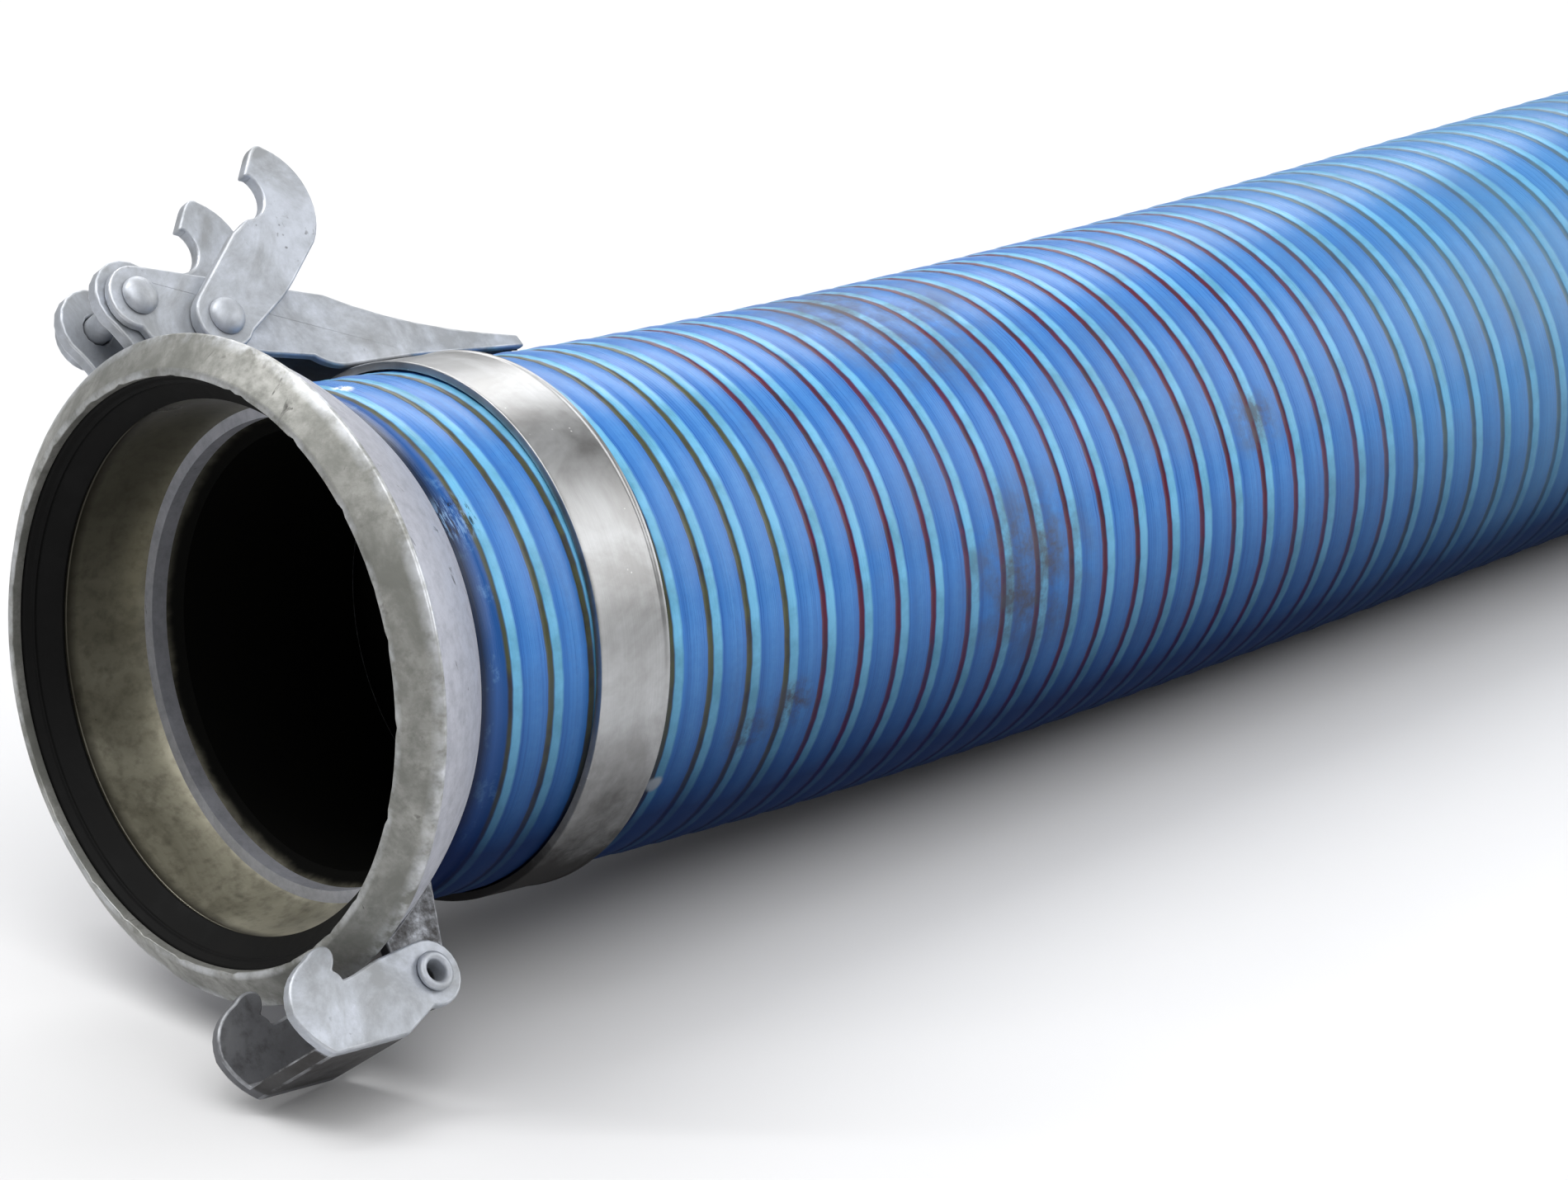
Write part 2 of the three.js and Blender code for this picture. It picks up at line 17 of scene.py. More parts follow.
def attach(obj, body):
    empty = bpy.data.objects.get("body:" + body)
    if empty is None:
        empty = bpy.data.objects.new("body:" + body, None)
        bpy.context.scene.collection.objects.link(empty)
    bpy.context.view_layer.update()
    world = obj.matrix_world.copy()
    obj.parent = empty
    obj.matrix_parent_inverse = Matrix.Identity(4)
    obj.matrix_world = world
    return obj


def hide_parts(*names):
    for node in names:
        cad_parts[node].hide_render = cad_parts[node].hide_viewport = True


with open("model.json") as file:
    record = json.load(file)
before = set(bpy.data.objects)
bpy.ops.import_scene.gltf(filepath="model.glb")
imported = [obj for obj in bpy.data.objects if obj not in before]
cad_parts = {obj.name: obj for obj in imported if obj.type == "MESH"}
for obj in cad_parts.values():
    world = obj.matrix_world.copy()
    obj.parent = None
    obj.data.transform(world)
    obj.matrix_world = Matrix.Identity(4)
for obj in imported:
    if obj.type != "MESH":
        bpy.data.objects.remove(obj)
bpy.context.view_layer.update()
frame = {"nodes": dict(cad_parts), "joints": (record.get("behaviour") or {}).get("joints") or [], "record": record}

bl_info = {
    "name": "Slurry hose",
    "version": (1, 0, 0),
    "blender": (4, 5, 0),
    "location": "3D View > Sidebar > Slurry Hose",
    "description": "Makes a spiral-ribbed slurry hose with its lever coupling, piece by piece",
    "category": "Object",
}


def srgb(red, green, blue):
    """A screen colour of 0 to 255 a channel as the linear colour that shaders take."""
    shares = np.array([red, green, blue]) / 255
    linear = np.where(shares <= 0.04045, shares / 12.92, ((shares + 0.055) / 1.055) ** 2.4)
    return tuple(float(value) for value in linear)


# Frame of the coupling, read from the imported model

def node_points(name):
    """All vertices of a CAD node, one row each."""
    mesh = frame["nodes"][name].data
    points = np.zeros(len(mesh.vertices) * 3)
    mesh.vertices.foreach_get("co", points)
    return points.reshape(-1, 3)


def joint(name):
    """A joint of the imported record, by its name."""
    return next(row for row in frame["joints"] if row["name"] == name)


def mount(name):
    """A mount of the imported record, by its name."""
    return next(row for row in frame["record"]["mounts"] if row["name"] == name)


def middle_of(values):
    """Half-way between the lowest and the highest of some numbers."""
    return (values.min() + values.max()) / 2


ALONG = -np.array(mount("mouth_face")["axis"])
SIDE = -np.array(joint("lever_swing")["axis"])
HIGH = np.cross(ALONG, SIDE)
BODY_POINTS = node_points("coupling_body")
MOUTH = (
    ALONG * (BODY_POINTS @ ALONG).min()
    + HIGH * middle_of(BODY_POINTS @ HIGH)
    + SIDE * middle_of(BODY_POINTS @ SIDE)
)


def place(along, high, side):
    """Points from distances along the coupling's axis, high on its leaning diameter and to the side of it."""
    along, high, side = np.broadcast_arrays(along, high, side)
    return MOUTH + along[..., None] * ALONG + high[..., None] * HIGH + side[..., None] * SIDE


def distances(points):
    """The reverse of place: distances along, high and side of points, in columns."""
    return (points - MOUTH) @ np.array([ALONG, HIGH, SIDE]).T


# Sizes and colours that a user would change

def tint(name, description, *channels):
    """A colour setting whose default is given as a screen colour."""
    return FloatVectorProperty(
        name=name, description=description, default=srgb(*channels), subtype="COLOR")


class HoseSettings(bpy.types.PropertyGroup):
    """Sizes and colours of the hose."""

    radius: FloatProperty(
        name="Radius", description="Outside radius over the ribs", default=0.0845, unit="LENGTH")
    bore_radius: FloatProperty(
        name="Bore radius", description="Radius of the bore", default=0.076, unit="LENGTH")
    length: FloatProperty(
        name="Length", description="From the mouth to the cut end, on the centre line", default=2.0,
        unit="LENGTH")
    pitch: FloatProperty(
        name="Pitch", description="Distance from one rib to the next", default=0.01721, unit="LENGTH")
    first_line_at: FloatProperty(
        name="First line", description="Distance from the mouth to the first dark line", default=0.0533,
        unit="LENGTH")
    first_line_angle: FloatProperty(
        name="Line angle", description="Angle round the hose at which that distance holds",
        default=math.radians(155), subtype="ANGLE")
    relief: FloatProperty(
        name="Relief", description="Depth of the dark line under the rib's crest", default=0.0008,
        unit="LENGTH")
    recess: FloatProperty(
        name="Recess", description="Depth of the worn rim before the first dark line", default=0.0014,
        unit="LENGTH")
    columns: IntProperty(name="Columns", description="Faces round the hose", default=60)
    blue: tint("Blue", "Soft plastic between the spirals", 58, 120, 192)
    deep_blue: tint("Deep blue", "Darker streaks of the soft plastic", 36, 88, 160)
    stripe: tint("Stripe", "Hard spiral in the wall", 104, 172, 210)
    maroon: tint("Maroon line", "Line beside the stripe, fresh", 82, 14, 34)
    olive: tint("Olive line", "Line beside the stripe, faded", 70, 72, 40)
    # painted shade on the underside of the hose
    underside_shade: tint("Grime", "Dark film on the underside", 14, 24, 58)
    dirt: tint("Dirt", "Dry slurry on the hose", 78, 78, 84)


class CouplingSettings(bpy.types.PropertyGroup):
    """Sizes and colours of the metal and rubber pieces."""

    sides: IntProperty(name="Sides", description="Faces round the turned pieces", default=224)
    bevel: FloatProperty(
        name="Edge rounding", description="Rounding of the edges of lever and hooks", default=0.0009,
        unit="LENGTH")
    zinc: tint("Zinc", "Galvanised steel", 186, 191, 200)
    zinc_dark: tint("Dull zinc", "Darker patches of the galvanising", 146, 149, 152)
    flange: tint("Flange", "Galvanised steel of the turned cup", 160, 160, 156)
    flange_dark: tint("Dull flange", "Darker patches of the turned cup", 116, 117, 112)
    bare: tint("Worn edge", "Bright metal where the zinc is rubbed", 208, 211, 216)
    cup: tint("Cup", "Stained metal inside the coupling", 138, 134, 116)
    # painted shade: the near-black colour of the throat
    throat_shade: tint("Cup stain", "Dark film in the throat", 13, 13, 12)
    stainless: tint("Stainless", "Strap of the band clamp", 196, 198, 200)
    rubber: tint("Rubber", "Seal ring", 7, 7, 7)


class StageSettings(bpy.types.PropertyGroup):
    """Camera, floor and lights."""

    lens: FloatProperty(name="Focal length", description="In millimetres on a 36 mm sensor", default=118.64)
    floor_size: FloatProperty(name="Floor size", description="Side of the square floor", default=30.0,
                              unit="LENGTH")
    world_strength: FloatProperty(name="World", description="Strength of the even light", default=0.3)
    key_power: FloatProperty(name="Key light", description="Strength of the wide sun overhead", default=1.65)
    key_angle: FloatProperty(
        name="Key width", description="Angle that the sun fills", default=math.radians(55), subtype="ANGLE")
    back_power: FloatProperty(name="Back light", description="Watts of the wide light behind", default=26.0)
    side_power: FloatProperty(
        name="Side light", description="Watts of the wide light at the right", default=34.0)
    front_power: FloatProperty(
        name="Front light", description="Watts of the wide light above the camera", default=44.0)
    strip_power: FloatProperty(name="Strip light", description="Watts of the narrow light", default=14.0)


class SlurryHoseSettings(bpy.types.PropertyGroup):
    """All settings of the object."""

    hose: PointerProperty(type=HoseSettings)
    coupling: PointerProperty(type=CouplingSettings)
    stage: PointerProperty(type=StageSettings)


# Materials

class Finish:
    """A procedural material: its helpers add one node each and give back the socket that comes out."""

    def __init__(self, name, **constants):
        self.material = bpy.data.materials.new(name)
        self.material.use_nodes = True
        self.tree = self.material.node_tree
        self.tree.nodes.clear()
        self.shader = self.tree.nodes.new("ShaderNodeBsdfPrincipled")
        output = self.tree.nodes.new("ShaderNodeOutputMaterial")
        self.tree.links.new(self.shader.outputs[0], output.inputs[0])
        for key, value in constants.items():
            self.shader.inputs[key.replace("_", " ").title().replace("Ior", "IOR")].default_value = value
        self.place = self.node("ShaderNodeTexCoord").outputs["Object"]

    def node(self, kind, inputs=(), **options):
        """A node with its options set, and its inputs given as numbers, colours or sockets."""
        made = self.tree.nodes.new(kind)
        for key, value in options.items():
            setattr(made, key, value)
        for socket, value in dict(inputs).items():
            if isinstance(value, bpy.types.NodeSocket):
                self.tree.links.new(value, made.inputs[socket])
            else:
                made.inputs[socket].default_value = value
        return made

    def finish(self, colour, roughness=None, metallic=None, height=None, bump=0.2, depth=0.0005,
               specular=None):
        """Links what varies over the surface to the shader, and gives the material back."""
        if specular is not None:
            self.tree.links.new(specular, self.shader.inputs["Specular IOR Level"])
        self.tree.links.new(colour, self.shader.inputs["Base Color"])
        if roughness is not None:
            self.tree.links.new(roughness, self.shader.inputs["Roughness"])
        if metallic is not None:
            self.tree.links.new(metallic, self.shader.inputs["Metallic"])
        if height is not None:
            inputs = {"Strength": bump, "Distance": depth, "Height": height}
            self.tree.links.new(self.node("ShaderNodeBump", inputs).outputs[0], self.shader.inputs["Normal"])
        return self.material

    def stretched(self, scale, turn=(0, 0, 0), vector=None):
        """The object's coordinates, or another vector, turned and scaled by axis."""
        inputs = {"Vector": self.place if vector is None else vector, "Rotation": turn, "Scale": scale}
        return self.node("ShaderNodeMapping", inputs).outputs[0]

    def noise(self, scale, detail=4.0, rough=0.55, distortion=0.0, vector=None):
        """Smooth noise from 0 to 1, with so many cycles in a metre."""
        inputs = {"Vector": self.place if vector is None else vector, "Scale": scale, "Detail": detail,
                  "Roughness": rough, "Distortion": distortion}
        return self.node("ShaderNodeTexNoise", inputs).outputs["Fac"]

    def cells(self, scale, randomness=1.0, vector=None, feature="F1", output="Distance"):
        """Distance to, or the colour of, the nearest cell of a Voronoi pattern."""
        inputs = {"Vector": self.place if vector is None else vector, "Scale": scale,
                  "Randomness": randomness}
        return self.node("ShaderNodeTexVoronoi", inputs, feature=feature).outputs[output]

    def range(self, value, low, high, to_low=0.0, to_high=1.0, smooth=False):
        """A value from low to high carried over to another range, and held at its ends."""
        kind = "SMOOTHSTEP" if smooth else "LINEAR"
        inputs = {0: value, 1: low, 2: high, 3: to_low, 4: to_high}
        return self.node("ShaderNodeMapRange", inputs, interpolation_type=kind).outputs[0]

    def math(self, operation, first, second=0.0):
        """One sum on two numbers."""
        return self.node("ShaderNodeMath", {0: first, 1: second}, operation=operation).outputs[0]

    def both(self, *values):
        """The product of several values."""
        result = values[0]
        for value in values[1:]:
            result = self.math("MULTIPLY", result, value)
        return result

    def mix(self, share, first, second):
        """The first colour where the share is 0, and the second where it is 1."""
        made = self.node("ShaderNodeMix", data_type="RGBA")
        for socket, value in zip((made.inputs[0], made.inputs[6], made.inputs[7]), (share, first, second)):
            if isinstance(value, bpy.types.NodeSocket):
                self.tree.links.new(value, socket)
            else:
                socket.default_value = value if isinstance(value, float) else (*value, 1.0)[:4]
        return made.outputs[2]

    def from_mouth(self, direction):
        """Distance from the middle of the mouth along one direction of the coupling."""
        away = self.node("ShaderNodeVectorMath", {0: self.place, 1: tuple(MOUTH)}, operation="SUBTRACT")
        inputs = {0: away.outputs[0], 1: tuple(direction)}
        return self.node("ShaderNodeVectorMath", inputs, operation="DOT_PRODUCT").outputs["Value"]

    def from_axis(self):
        """Distance from the coupling's axis."""
        square = [self.both(self.from_mouth(way), self.from_mouth(way)) for way in (HIGH, SIDE)]
        return self.math("SQRT", self.math("ADD", *square))

    def spot(self, centre, radius, softness=0.5, stretch=(1, 1, 1)):
        """1 near a point of the object and 0 beyond a radius, with a soft edge between."""
        away = self.node("ShaderNodeVectorMath", {0: self.place, 1: centre}, operation="SUBTRACT").outputs[0]
        away = self.node("ShaderNodeVectorMath", {0: away, 1: stretch}, operation="MULTIPLY").outputs[0]
        length = self.node("ShaderNodeVectorMath", {0: away}, operation="LENGTH").outputs["Value"]
        return self.range(length, radius * softness, radius, 1.0, 0.0, smooth=True)


# Marks on the hose
CHIP_AT = (-0.9189, 0.0683, 0.1948)  # white cut in the hose's rim
SCUFF_AT = (-0.9269, 0.0054, 0.1702)  # rubbed place with black scratches
BEAD_AT = (-0.8594, -0.0091, 0.067)  # pale bead of plastic beside the band
DIRT_SPOTS = (  # centre, radius, strength and grain of the patches of dry slurry
    ((-0.6985, 0.058, 0.172), 0.060, 0.80, 42),
    ((-0.6904, -0.016, 0.098), 0.044, 0.90, 60),
    ((-0.8035, -0.015, 0.081), 0.013, 0.95, 160),
    ((-0.8223, -0.013, 0.075), 0.014, 0.85, 130),
    ((-0.5661, -0.004, 0.121), 0.018, 0.80, 110),
)
MAROON_STARTS, MAROON_ENDS = (-0.800, -0.790), (-0.505, -0.480)  # where the thin line is maroon, on X

# Fixed tints of the finishes
# lighter blues painted on the rib crests as a highlight
CREST_HIGHLIGHT_BLUES = srgb(70, 134, 200), srgb(86, 148, 206)
WORN_STRIPE = srgb(84, 148, 178)
OLD_LINE = srgb(40, 34, 40)
FADED_BLUE = srgb(82, 138, 176)
# near-black painted as the shade inside the bore
BORE_SHADE_TINTS = srgb(16, 17, 20), srgb(38, 37, 36)
# deep blue painted as the flange's shadow on the rim, and the pale blue of its rubbed marks
RIM_SHADOW_AND_RUB_BLUES = srgb(30, 78, 140), srgb(96, 140, 186)
RIM_SHADE = srgb(12, 18, 30)
CUT_WHITE = srgb(228, 236, 244)
SCUFF_BLUE = srgb(128, 164, 204)
SCRATCH_BLACK = srgb(14, 14, 18)
BEAD_WHITE = srgb(196, 206, 210)
ZINC_SPECK = srgb(70, 66, 64)
# greys painted as the shade inside the bottom hook's channel
CHANNEL_SHADE_GREY, CHANNEL_SHADE_DARK = srgb(92, 92, 95), srgb(54, 52, 51)
# lighter greys painted as light on the flange's round back
LIT_BACK_GREYS = srgb(190, 192, 202), srgb(166, 168, 178)
FLANGE_MARK = srgb(58, 56, 54)
CUP_PALE, CUP_GRAIN = srgb(192, 188, 168), srgb(78, 74, 62)
# darker browns painted as shade on the cup's upper part, and as stain and shade at its edge by the seal
CUP_UPPER_SHADE, CUP_EDGE_STAIN_AND_SHADE = srgb(72, 70, 60), srgb(48, 45, 38)
STRAP_CLOUD, STRAP_LINE = srgb(150, 150, 150), srgb(128, 126, 124)
# near-black painted as shade on the strap's lower half
STRAP_SPECK, STRAP_LOWER_SHADE = srgb(240, 240, 240), srgb(30, 28, 27)
RUBBER_DUST = srgb(32, 31, 30)
FLOOR_TINTS = srgb(204, 204, 205), srgb(208, 208, 209)


def hose_finish(settings):
    """Blue soft plastic with a hard light spiral, a thin dark line beside it, streaks and dry dirt, with painted
    highlights on the rib crests and painted shade on the underside and in the bore.
    """
    finish = Finish("blue_spiral_hose")
    wrap = finish.node("ShaderNodeUVMap", uv_map="spiral").outputs[0]
    parts = finish.node("ShaderNodeSeparateXYZ", {0: wrap})
    phase = finish.math("FRACT", finish.math("ADD", parts.outputs[0], 64.0))
    streaks = finish.noise(1.0, 3.0, 0.6, vector=finish.stretched((34, 5, 1), vector=wrap))
    fine = finish.noise(420, 2.0, 0.6)
    patches = finish.noise(9, 4.0, 0.6, 0.4)
    wobble = finish.range(finish.noise(26, 3.0, 0.6), 0.3, 0.7, -0.012, 0.012)
    edge = finish.math("ADD", phase, wobble)
    blue = finish.mix(finish.range(streaks, 0.3, 0.72), settings.deep_blue, settings.blue)
    off_crest = finish.math("ABSOLUTE", finish.math("SUBTRACT", phase, CREST_PHASE))
    # painted highlight: lighter blue along the crest of each rib
    crest = finish.range(off_crest, 0.0, 0.34, 1.0, 0.0, True)
    light = finish.mix(finish.range(patches, 0.35, 0.7), *CREST_HIGHLIGHT_BLUES)
    blue = finish.mix(finish.both(crest, finish.range(fine, 0.2, 0.8, 0.25, 0.55)), blue, light)
    inside = finish.range(edge, 0.045, 0.100, smooth=True)
    stripe_share = finish.both(inside, finish.range(edge, 0.255, 0.335, 1.0, 0.0, True))
    worn = finish.range(finish.noise(60, 4.0, 0.65), 0.42, 0.66)
    stripe = finish.mix(worn, settings.stripe, WORN_STRIPE)
    colour = finish.mix(stripe_share, blue, stripe)
    along = finish.node("ShaderNodeSeparateXYZ", {0: finish.place}).outputs[0]
    zone = finish.both(finish.range(along, *MAROON_STARTS), finish.range(along, *MAROON_ENDS, 1.0, 0.0))
    far = finish.range(finish.noise(1.3, 1.0, 0.5), 0.56, 0.6)
    zone = finish.math("MAXIMUM", zone, finish.both(far, finish.range(along, -0.2, -0.1)))
    line_colour = finish.mix(zone, settings.olive, settings.maroon)
    line_colour = finish.mix(finish.range(finish.noise(90, 3.0), 0.45, 0.75), line_colour, OLD_LINE)
    before = finish.range(edge, 0.900, 0.945, smooth=True)
    after = finish.range(edge, 0.045, 0.090, 1.0, 0.0, True)
    line = finish.math("MAXIMUM", before, after)
    colour = finish.mix(finish.both(line, finish.range(patches, 0.2, 0.5, 0.75, 0.97)), colour, line_colour)
    overlay = finish.both(finish.range(finish.noise(14, 6.0, 0.68, 0.3), 0.5, 0.85), 0.35)
    for centre, radius, strength, grain in DIRT_SPOTS:
        rough = finish.range(finish.noise(grain, 5.0, 0.7), 0.38, 0.62)
        overlay = finish.math("MAXIMUM", overlay, finish.both(finish.spot(centre, radius, 0.2), rough, strength))
    faded = finish.both(finish.range(along, -0.56, -0.40), finish.range(patches, 0.3, 0.6, 0.25, 0.5))
    colour = finish.mix(faded, colour, FADED_BLUE)
    colour = finish.mix(overlay, colour, settings.dirt)
    colour = shaded_worn_rim(finish, colour, parts.outputs[0])
    # painted shade: darker and less shiny towards the underside of the hose
    level = finish.math("SINE", finish.math("MULTIPLY", parts.outputs[1], 2 * math.pi))
    underside_shade = finish.range(finish.math("ADD", level, finish.both(patches, 0.3)), 0.36, -0.45, 0.0, 0.93)
    colour = finish.mix(underside_shade, colour, settings.underside_shade)
    # painted shade: the bore is near black
    bore = finish.range(parts.outputs[0], BORE_MARK + 9, BORE_MARK + 10, 1.0, 0.0)
    colour = finish.mix(bore, colour, finish.mix(patches, *BORE_SHADE_TINTS))
    roughness = finish.math("ADD", finish.range(streaks, 0.2, 0.8, 0.22, 0.36), finish.both(overlay, 0.3))
    roughness = finish.math("ADD", roughness, finish.both(underside_shade, 0.35))
    specular = finish.range(underside_shade, 0.0, 0.8, 0.28, 0.03)
    height = finish.math("ADD", finish.both(streaks, 0.5), finish.both(fine, 0.25))
    return finish.finish(colour, roughness, height=height, bump=0.35, depth=0.0003, specular=specular)


def shaded_worn_rim(finish, colour, turns):
    """The rim before the first dark line: deep blue painted as the flange's shadow and darkest next to the cup,
    with pale rubbed marks, a cut and scratches.
    """
    rim = finish.range(turns, -0.03, 0.0, 1.0, 0.0)
    rubbed = finish.range(finish.noise(120, 5.0, 0.7), 0.56, 0.7, 0.0, 0.7)
    # painted shadow of the flange over the rim, with real pale rubbed marks
    deep = finish.mix(rubbed, *RIM_SHADOW_AND_RUB_BLUES)
    # painted shadow, darkest just behind the cup's back
    flange_shadow = finish.range(finish.from_mouth(ALONG), 0.045, 0.050, 0.9, 0.0)
    deep = finish.mix(flange_shadow, deep, RIM_SHADE)
    colour = finish.mix(rim, colour, deep)
    chip = finish.both(finish.spot(CHIP_AT, 0.0045, 0.4), finish.range(finish.noise(300, 3.0), 0.42, 0.5))
    colour = finish.mix(chip, colour, CUT_WHITE)
    scuff = finish.spot(SCUFF_AT, 0.011, 0.3)
    scratch = finish.noise(1.0, 4.0, 0.7, vector=finish.stretched((900, 160, 160)))
    colour = finish.mix(finish.both(scuff, finish.range(scratch, 0.5, 0.56), 0.6), colour, SCUFF_BLUE)
    colour = finish.mix(finish.both(scuff, finish.range(scratch, 0.44, 0.40)), colour, SCRATCH_BLACK)
    return finish.mix(finish.spot(BEAD_AT, 0.004, 0.5), colour, BEAD_WHITE)


def galvanised_finish(name, settings, dull=0.5, wear=0.6, shaded_channel=False, turned_edge=False):
    """Hot-dip zinc: soft grey patches, a fine crystal mottle, pits, and bright metal on rubbed edges.

    The channel switch paints shade inside the bottom hook's channel, and turned_edge paints light on the flange's
    round back and bright metal on the flange's edge and lip, partly wear and partly a painted highlight.
    """
    light, dark = settings.zinc, settings.zinc_dark
    if turned_edge:
        light, dark = settings.flange, settings.flange_dark
    finish = Finish(name, specular_ior_level=0.5)
    patches = finish.noise(34, 6.0, 0.66, 0.5)
    mottle = finish.noise(170, 4.0, 0.7)
    crystals = finish.cells(190, output="Distance")
    colour = finish.mix(finish.range(patches, 0.38, 0.60), dark, light)
    colour = finish.mix(finish.range(mottle, 0.42, 0.66, 0.0, dull), colour, dark)
    dots = finish.range(finish.noise(330, 2.0, 0.5), 0.66, 0.74)
    specks = finish.both(dots, finish.range(patches, 0.5, 0.62))
    colour = finish.mix(finish.both(specks, 0.6), colour, ZINC_SPECK)
    if shaded_channel:
        # painted shade inside the channel: greyer past the near cheek's outer face, darkest between the cheeks
        aside = finish.math("ADD", finish.from_mouth(SIDE), finish.range(mottle, 0.3, 0.7, -0.0008, 0.0008))
        inner = finish.both(finish.range(aside, -0.0185, -0.0170), finish.range(patches, 0.3, 0.6, 0.7, 0.95))
        colour = finish.mix(inner, colour, CHANNEL_SHADE_GREY)
        overlay = finish.both(inner, finish.range(aside, 0.0165, 0.0180, 1.0, 0.0))
        colour = finish.mix(overlay, colour, CHANNEL_SHADE_DARK)
    rubbed = finish.node("ShaderNodeAttribute", attribute_name="wear").outputs["Fac"]
    if turned_edge:
        deep = finish.from_mouth(ALONG)
        # painted light: lighter grey on the round back behind the flange's edge
        back = finish.range(deep, 0.0100, 0.0112, 0.0, 0.9)
        lit_back = finish.mix(finish.range(mottle, 0.4, 0.7), *LIT_BACK_GREYS)
        colour = finish.mix(back, colour, lit_back)
        # bright metal on the flange's edge and lip: partly wear, partly painted highlight
        edge = finish.math("SUBTRACT", finish.range(deep, 0.0058, 0.0082), finish.range(deep, 0.0098, 0.0112))
        lip = finish.range(deep, 0.0, 0.0005, 1.0, 0.0)
        rubbed = finish.math("MAXIMUM", edge, finish.both(lip, 0.6))
        scratch = finish.noise(1.0, 5.0, 0.72, 0.6, vector=finish.stretched((60, 190, 60)))
        marks = finish.both(finish.range(scratch, 0.64, 0.68), finish.range(patches, 0.42, 0.56), 0.8)
        colour = finish.mix(marks, colour, FLANGE_MARK)
    rubbed = finish.both(rubbed, finish.range(finish.noise(75, 4.0, 0.7), 0.40, 0.64), wear)
    colour = finish.mix(rubbed, colour, settings.bare)
    base = finish.range(mottle, 0.25, 0.75, 0.42, 0.6)
    roughness = finish.math("SUBTRACT", base, finish.both(rubbed, 0.2))
    metallic = finish.range(patches, 0.3, 0.7, 0.45, 0.7)
    height = finish.math("ADD", finish.both(crystals, 0.35), finish.both(mottle, 0.8))
    return finish.finish(colour, roughness, metallic, height, bump=0.3, depth=0.0004)


def cup_finish(settings):
    """Metal inside the coupling, stained brown, with painted shade: almost black towards the throat, darker on its
    upper part, and at its edge by the seal partly stain and partly shade.
    """
    finish = Finish("stained_cup_metal", specular_ior_level=0.5)
    stain = finish.noise(16, 6.0, 0.68, 0.8)
    grain = finish.noise(240, 3.0, 0.6)
    colour = finish.mix(finish.range(stain, 0.35, 0.7), settings.cup, CUP_PALE)
    colour = finish.mix(finish.range(grain, 0.45, 0.75, 0.0, 0.5), colour, CUP_GRAIN)
    # painted shade: near black, dull and without shine towards the throat
    wide = finish.math("ADD", finish.from_axis(), finish.range(stain, 0.3, 0.7, -0.0016, 0.0016))
    overlay = finish.range(wide, 0.0805, 0.0735, 0.0, 1.0, True)
    # painted shade: darker on the upper part of the cup
    level = finish.node("ShaderNodeSeparateXYZ", {0: finish.place}).outputs[2]
    upper_shade = finish.range(finish.math("ADD", level, finish.both(stain, 0.03)), 0.075, 0.165, 0.0, 0.8)
    colour = finish.mix(upper_shade, colour, CUP_UPPER_SHADE)
    # dark brown at the cup's edge by the seal: partly stain, partly painted shade over its rounded corner
    rim = finish.range(finish.from_mouth(ALONG), 0.0160, 0.0200, 0.85, 0.0)
    colour = finish.mix(rim, colour, CUP_EDGE_STAIN_AND_SHADE)
    colour = finish.mix(overlay, colour, settings.throat_shade)
    roughness = finish.math("ADD", finish.range(stain, 0.3, 0.7, 0.24, 0.4), finish.both(overlay, 0.3))
    metallic = finish.range(overlay, 0.0, 0.9, 0.6, 0.0)
    specular = finish.range(overlay, 0.0, 0.9, 0.5, 0.02)
    return finish.finish(colour, roughness, metallic, finish.both(grain, 0.6), 0.25, 0.0004, specular)


def strap_finish(settings):
    """Rolled stainless strap: fine lines along the band, cloudy patches, white specks, and painted shade that
    makes it darker and duller towards the bottom.
    """
    finish = Finish("stainless_strap")
    wrap = finish.node("ShaderNodeUVMap", uv_map="turned").outputs[0]
    lines = finish.noise(1.0, 3.0, 0.7, vector=finish.stretched((5, 5200, 1), vector=wrap))
    clouds = finish.noise(34, 5.0, 0.62, 0.4)
    colour = finish.mix(finish.range(clouds, 0.35, 0.68), STRAP_CLOUD, settings.stainless)
    colour = finish.mix(finish.range(lines, 0.3, 0.7, 0.0, 0.3), colour, STRAP_LINE)
    specks = finish.range(finish.cells(230), 0.05, 0.09, 1.0, 0.0)
    few = finish.range(finish.noise(48, 1.0), 0.62, 0.66)
    colour = finish.mix(finish.both(specks, few), colour, STRAP_SPECK)
    # painted shade: darker, duller and less metallic towards the bottom of the strap
    low = finish.node("ShaderNodeSeparateXYZ", {0: finish.place}).outputs[2]
    uneven = finish.math("ADD", low, finish.range(finish.noise(30, 5.0, 0.7), 0.3, 0.7, -0.012, 0.012))
    dirt = finish.range(uneven, 0.108, 0.040, 0.0, 0.96, smooth=True)
    colour = finish.mix(dirt, colour, STRAP_LOWER_SHADE)
    roughness = finish.math("ADD", finish.range(clouds, 0.3, 0.7, 0.28, 0.42), finish.both(dirt, 0.4))
    metallic = finish.range(dirt, 0.0, 0.9, 1.0, 0.0)
    specular = finish.range(dirt, 0.0, 0.9, 0.5, 0.05)
    return finish.finish(colour, roughness, metallic, finish.both(lines, 0.6), 0.12, 0.0002, specular)


def rubber_finish(settings):
    """Black rubber, a little grey where it is rubbed, with a fine grain."""
    finish = Finish("black_rubber", specular_ior_level=0.15)
    dust = finish.noise(40, 5.0, 0.65)
    grain = finish.noise(700, 2.0, 0.5)
    colour = finish.mix(finish.range(dust, 0.5, 0.8, 0.0, 0.4), settings.rubber, RUBBER_DUST)
    roughness = finish.range(dust, 0.3, 0.7, 0.6, 0.8)
    return finish.finish(colour, roughness, height=grain, bump=0.15, depth=0.0002)


